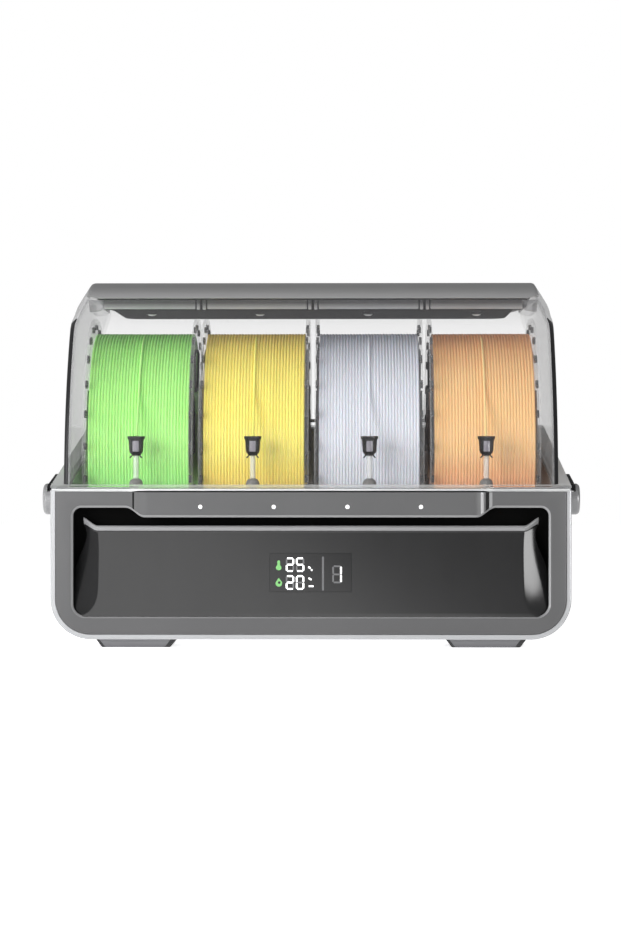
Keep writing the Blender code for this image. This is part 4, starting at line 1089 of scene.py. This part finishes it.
def make_ceiling():
    front_y, rear_y, half, wide, corner = -0.032, 0.108, 0.1560, 0.162, 0.015
    def plan(inset):
        outline = [(-wide + inset, front_y + inset), (wide - inset, front_y + inset),
                   (wide - inset, front_y + 0.003), (half - inset, front_y + 0.0032)]
        outline += arc((half - corner, rear_y - corner), corner - inset, 0, 90, 14)
        outline += arc((corner - half, rear_y - corner), corner - inset, 90, 180, 14)
        return outline + [(inset - half, front_y + 0.0032), (inset - wide, front_y + 0.003)]
    rings = [[(x, y, z) for x, y in plan(inset)] for inset, z in
             ((0.0012, 0.2525), (0.0003, 0.2529), (0.0, 0.2536), (0.0, 0.2605))]
    panel = loft("ceiling_tray", rings, [M["under"]])
    pocket = block("pocket", (-0.149, front_y + 0.005, 0.2545), (0.149, rear_y - 0.006, 0.270),
                   [M["under"]])
    carve(panel, "DIFFERENCE", pocket)
    place(panel, "lid", "tray_grey", "ceiling_panel")
    strip = []
    for i in range(4):
        low = -wide if i == 0 else REEL_X[i] - REEL_PITCH / 2 + 0.0045
        high = wide if i == 3 else REEL_X[i] + REEL_PITCH / 2 - 0.0045
        strip.append(soften(block("fascia_{}".format(i + 1), (low, front_y - 0.0016, 0.2528),
                                  (high, front_y + 0.0002, CEILING_TOP_Z), [M["fascia"]]), 0.0009, 3))
    for i in range(3):
        for side in (-1, 1):
            x = (i - 1) * REEL_PITCH + side * 0.0023
            rib = block("ceiling_rib_{}_{}".format(i + 1, "right" if side > 0 else "left"),
                        (x - 0.0013, front_y - 0.0022, CEILING_LOW_Z),
                        (x + 0.0013, front_y + 0.0002, CEILING_TOP_Z), [M["fascia"]])
            strip.append(soften(rib, 0.0006, 2))
    for side, sign in (("left", -1), ("right", 1)):
        outline = [(0.1626, 0.2600), (0.1626, 0.2532), (0.1650, 0.2515), (0.1730, 0.2505), (0.1740, 0.2600)]
        bracket = prism("ceiling_bracket_" + side, [(sign * x, z) for x, z in outline], "Y", -0.030, 0.030,
                        [M["smoky_clear_and_corner_shade"]])
        strip.append(soften(bracket, 0.0008, 2))
    for number, x in enumerate(REEL_X, 1):
        profile = [(0.0, 0.2513), (0.0020, 0.2515), (0.0028, 0.2519), (0.0034, 0.2522), (0.0037, 0.2526),
                   (0.0, 0.2531)]
        strip.append(turned("ceiling_lamp_{}".format(number), profile, "Z", (x, 0.036, 0),
                            [M["lamp"], M["fascia"]], 32, pick=lambda row: 0 if row < 2 else 1))
    for piece in strip:
        place(piece, "lid", "tray_grey")


# Reels

def make_reel(number, x):
    centre = (x, REEL_Y, REEL_Z)
    edge = REEL_HALF - REEL_FLANGE
    half = [
        (REEL_BORE, 0.0), (REEL_BORE, REEL_HALF - 0.0006), (REEL_BORE + 0.0006, REEL_HALF),
        (0.0315, REEL_HALF), (0.0320, REEL_HALF - 0.0010), (0.0800, REEL_HALF - 0.0010),
        (0.0806, REEL_HALF - 0.0002), (0.0830, REEL_HALF - 0.0002), (0.0836, REEL_HALF - 0.0010),
        (0.0975, REEL_HALF - 0.0010), (0.0978, REEL_HALF - 0.0003), (0.0984, REEL_HALF),
        (REEL_RADIUS - 0.0006, REEL_HALF), (REEL_RADIUS, REEL_HALF - 0.0006),
        (REEL_RADIUS, edge + 0.0004), (REEL_RADIUS - 0.0005, edge), (REEL_BARREL, edge), (REEL_BARREL, 0.0),
    ]
    profile = half[1:-1]
    profile = profile + [(radius, -distance) for radius, distance in reversed(profile)]
    reel = turned("spool_{}".format(number), profile, "X", centre, [M["reel"], M["reel_mark"]], 96)
    for side in (-1, 1):
        cuts = []
        for i in range(REEL_RIM_SLOTS):
            middle = 2 * math.pi * i / REEL_RIM_SLOTS
            cuts.append(slot_wedge(centre, side, middle, 0.0912, 0.0950, 0.026))
        for i in range(REEL_WINDOWS):
            middle = 2 * math.pi * (i + 0.3) / REEL_WINDOWS
            cuts.append(slot_wedge(centre, side, middle, 0.0460, 0.0760, 0.34))
        carve(reel, "DIFFERENCE", join("cuts", cuts))
    place(reel, "reel_{}".format(number), "reel_clear", "reel_{}".format(number))


def slot_wedge(centre, side, middle, low, high, half_angle):
    """A round-cornered slot through one flange, along an arc about the reel's axis."""
    steps = 3 if half_angle < 0.1 else 10
    outline = []
    for radius, order in ((high, range(steps + 1)), (low, range(steps, -1, -1))):
        for i in order:
            angle = middle + half_angle * (2 * i / steps - 1)
            outline.append((centre[1] + radius * math.cos(angle), centre[2] + radius * math.sin(angle)))
    inner, outer = REEL_HALF - REEL_FLANGE - 0.0001, REEL_HALF + 0.001
    low_x, high_x = sorted((centre[0] + side * inner, centre[0] + side * outer))
    # The cut faces take the dark material, painted shade on the slot walls
    return prism("cut", outline, "X", low_x, high_x, [M["reel"], M["reel_mark"]], pick=lambda row, i: 1)


def make_winding(number, x):
    """Turns of filament side by side, each a little different, over a packed core."""
    edge = REEL_HALF - REEL_FLANGE - GAP
    pitch = 2 * edge / WINDING_TURNS
    crown = pitch * 0.44
    profile = [(REEL_BARREL + GAP, -edge), (0.060, -edge), (WINDING_RADIUS - 0.0035, -edge)]
    for i in range(WINDING_TURNS):
        middle = -edge + (i + 0.5) * pitch
        rise = 0.00005 * math.sin(i * 2.3 + number)
        for across in (-0.46, -0.30, -0.12, 0.12, 0.30, 0.46):
            bulge = math.sqrt(max(1 - (across / 0.5) ** 2, 0.0))
            profile.append((WINDING_RADIUS - 0.0004 - crown * (1 - bulge) + rise, middle + across * pitch))
    profile += [(WINDING_RADIUS - 0.0035, edge), (0.060, edge), (REEL_BARREL + GAP, edge)]

    def lean(angle, distance):
        return 0.00006 * math.sin(2 * angle + distance * 60 + number)

    name = COLOUR_NAMES[number - 1]
    winding = turned("filament_turns_{}".format(number), profile, "X", (x, REEL_Y, REEL_Z), [M[name]], 120,
                     wobble=lean, sharp=70)
    place(winding, "reel_{}".format(number), "filament_" + name, "winding_{}".format(number))


def strand_route(x):
    """The loose end: out of the turns near the top, round the front, and straight to the funnel."""
    radius = WINDING_RADIUS + STRAND_RADIUS * 0.05
    aim = Vector((INLET_Y - REEL_Y, STRAND_AIM_Z - REEL_Z))
    tangent = math.degrees(math.atan2(aim.y, aim.x) - math.acos(radius / aim.length))
    flat = []
    for i in range(41):
        degrees = 88 + (tangent - 88) * i / 40
        angle = math.radians(degrees)
        reach = radius - 0.0028 * (1 - ease((degrees - 88) / 34))
        flat.append((REEL_Y + reach * math.cos(angle), REEL_Z + reach * math.sin(angle)))
    leave = Vector(flat[-1])
    target = Vector((INLET_Y, STRAND_AIM_Z))
    bend_start = target + (leave - target).normalized() * 0.005
    bend_end = Vector((INLET_Y, STRAND_AIM_Z - 0.005))
    for i in range(13):
        t = i / 12
        flat.append(tuple((1 - t) ** 2 * bend_start + 2 * t * (1 - t) * target + t ** 2 * bend_end))
    flat.append((INLET_Y, FEEDER_TOP_Z - 0.006))
    return [(x, y, z) for y, z in flat]


def make_strand(number, x):
    name = COLOUR_NAMES[number - 1]
    curve = bpy.data.curves.new("strand_{}".format(number), "CURVE")
    curve.dimensions = "3D"
    curve.bevel_depth = STRAND_RADIUS
    curve.bevel_resolution = 4
    curve.use_fill_caps = True
    route = lifted(strand_route(x))
    spline = curve.splines.new("POLY")
    spline.points.add(len(route) - 1)
    for point, spot in zip(spline.points, route):
        point.co = (*spot, 1.0)
    strand = bpy.data.objects.new("strand_{}".format(number), curve)
    scene.collection.objects.link(strand)
    curve.materials.append(M[name + "_strand"])
    place(strand, "base", "filament_" + name, "filament_lead_{}".format(number))


def make_inlet(number, x):
    spot = (x, INLET_Y, 0)
    funnel = [
        (0.0015, 0.1465), (0.0024, 0.1480), (0.0056, FUNNEL_TOP_Z - 0.0003), (0.0060, FUNNEL_TOP_Z),
        (0.0064, FUNNEL_TOP_Z - 0.0001), (0.0065, FUNNEL_TOP_Z - 0.0005), (0.0064, 0.1518),
        (0.0058, 0.1508), (0.0056, 0.1500), (0.0053, 0.1450), (0.0051, 0.1425), (0.0046, 0.1412),
        (0.0036, 0.1402), (0.0034, 0.1396), (0.0034, FUNNEL_LOW_Z), (0.0025, FUNNEL_LOW_Z),
        (0.0025, 0.1430), (0.0015, 0.1430),
    ]
    place(turned("funnel_{}".format(number), funnel, "Z", spot, [M["black"]], 48, sharp=40), "base",
          "black_plastic", "inlet_funnel_{}".format(number))
    # Painted highlight: a lighter curved patch on the funnel's front stands for its gloss highlight
    ends = arc((x, INLET_Y), 0.0059, 246, 294, 10) + arc((x, INLET_Y), 0.0045, 294, 246, 10)
    highlight_patch = prism("funnel_window_{}".format(number), ends, "Z", 0.1420, 0.1500, [M["funnel_core"]])
    soften(highlight_patch, 0.0003, 2)
    place(highlight_patch, "base", "black_plastic")
    for side in (-1, 1):
        foot = [(x + side * 0.0010, 0.1400), (x + side * 0.0036, 0.1392), (x + side * 0.0048, 0.1376),
                (x + side * 0.0040, 0.1372), (x + side * 0.0028, 0.1384), (x + side * 0.0026, 0.1392)]
        clip = prism("funnel_clip_{}_{}".format(number, side > 0), foot, "Y", INLET_Y - 0.0030,
                     INLET_Y - 0.0022, [M["black"]])
        place(clip, "base", "black_plastic")
    tube = [
        (0.0013, DECK_Z + GAP), (0.0051, DECK_Z + GAP), (0.0051, 0.1170),
        (0.0050, 0.1186), (0.0046, 0.1201), (0.0038, 0.1213), (0.0027, 0.1220), (0.0021, 0.1223),
        (0.0021, 0.1427), (0.0013, 0.1427),
    ]
    made = turned("tube_{}".format(number), tube, "Z", spot, [M["tube"], M["fitting"]], 48,
                  pick=lambda row: 1 if row < 7 else 0)
    place(made, "base", "feed_tube", "inlet_tube_{}".format(number))


# Pieces kept from the CAD

KEPT = {
    "display_board": ("board", 0.0), "control_board": ("board", 0.0), "power_inlet": ("black", 0.0004),
    "outlet_block": ("black", 0.0004), "bay_tray": ("tray", 0.0), "heater_core": ("fins", 0.0),
    "fan_frame": ("black", 0.0004), "fan_impeller": ("black", 0.0), "front_axle": ("steel", 0.0),
    "rear_axle": ("steel", 0.0), "hinge_rod": ("steel", 0.0), "lid_gasket": ("seal", 0.0),
}


def dress_kept_nodes():
    wanted = dict(KEPT)
    for i in range(1, 5):
        wanted["feeder_{}".format(i)] = ("black", 0.0008)
        for row in ("front", "rear"):
            wanted["{}_roller_{}".format(row, i)] = ("rubber", 0.0005)
    for name, (material, width) in wanted.items():
        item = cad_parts[name]
        item.data.materials.clear()
        item.data.materials.append(M[material])
        item.data.shade_smooth()
        item.data.set_sharp_from_angle(angle=math.radians(35))
        if width:
            soften(item, width)


# Stage

def make_stage():
    mesh = bpy.data.meshes.new("floor")
    mesh.from_pydata([(-4, -4, 0), (4, -4, 0), (4, 4, 0), (-4, 4, 0)], [], [(0, 1, 2, 3)])
    floor = bpy.data.objects.new("floor", mesh)
    scene.collection.objects.link(floor)
    nodes = Nodes("floor_white")
    tone = nodes.blend(nodes.noise(0.4), (0.93, 0.93, 0.93), (0.96, 0.96, 0.96))
    nodes.drive("Base Color", tone)
    nodes.drive("Emission Color", tone)
    nodes.set(Roughness=0.9, Specular_IOR_Level=0.1, Emission_Strength=0.80)
    mesh.materials.append(nodes.material)


def make_light(name, spot, aim, size, energy, height=None, roll=0, diffuse=True, glossy=True):
    data = bpy.data.lights.new(name, "AREA")
    data.shape = "RECTANGLE"
    data.size = size
    data.size_y = height or size
    data.energy = energy
    item = bpy.data.objects.new(name, data)
    scene.collection.objects.link(item)
    item.location = spot
    item.visible_diffuse = diffuse
    item.visible_glossy = glossy
    turn = (Vector(aim) - Vector(spot)).to_track_quat("-Z", "Y")
    item.rotation_euler = (turn @ Quaternion((0, 0, 1), math.radians(roll))).to_euler()


def make_world():
    """White to the camera; to everything else a soft front light that fades over the top and back."""
    world = bpy.data.worlds.new("studio")
    world.use_nodes = True
    scene.world = world
    tree = world.node_tree
    back = tree.nodes["Background"]
    path = tree.nodes.new("ShaderNodeLightPath")
    place_node = tree.nodes.new("ShaderNodeTexCoord")
    split = tree.nodes.new("ShaderNodeSeparateXYZ")
    tree.links.new(place_node.outputs["Generated"], split.inputs["Vector"])
    front = tree.nodes.new("ShaderNodeMapRange")
    front.interpolation_type = "SMOOTHSTEP"
    front.inputs["From Min"].default_value = 0.1
    front.inputs["From Max"].default_value = -1.0
    front.inputs["To Min"].default_value = 0.30
    front.inputs["To Max"].default_value = 0.50
    tree.links.new(split.outputs["Y"], front.inputs["Value"])
    level = tree.nodes.new("ShaderNodeMath")
    level.operation = "MAXIMUM"
    tree.links.new(path.outputs["Is Camera Ray"], level.inputs[0])
    tree.links.new(front.outputs["Result"], level.inputs[1])
    tree.links.new(level.outputs["Value"], back.inputs["Strength"])
    back.inputs["Color"].default_value = (1, 1, 1, 1)


scene.view_settings.view_transform = "Standard"
make_camera()
M = make_materials()
make_strand_materials()
make_stage()
make_world()
make_light("key", (-0.95, -1.15, 0.32), (0, 0, 0.1), 0.9, 19.0, 0.8, glossy=False)
make_light("top", (0.0, -0.9, 1.6), (0, 0, 0.1), 1.2, 3)
make_light("softbox", (-0.50, -2.5, 0.07), (-0.50, 0, 0.07), 1.2, 11, 1.2, -38, diffuse=False)
make_light("edge_left", (-2.0, -0.2, 0.4), (0, 0, 0.08), 0.12, 7, 1.0)
make_light("edge_right", (1.28, -1.15, 0.08), (0.16, -0.15, 0.06), 0.80, 25, 0.8, diffuse=False)
make_housing()
make_bezel()
make_panel()
make_display()
make_feet()
make_latches()
make_hood()
make_cap()
make_ceiling()
for reel_number, reel_x in enumerate(REEL_X, 1):
    make_reel(reel_number, reel_x)
    make_winding(reel_number, reel_x)
    make_strand(reel_number, reel_x)
    make_inlet(reel_number, reel_x)
dress_kept_nodes()
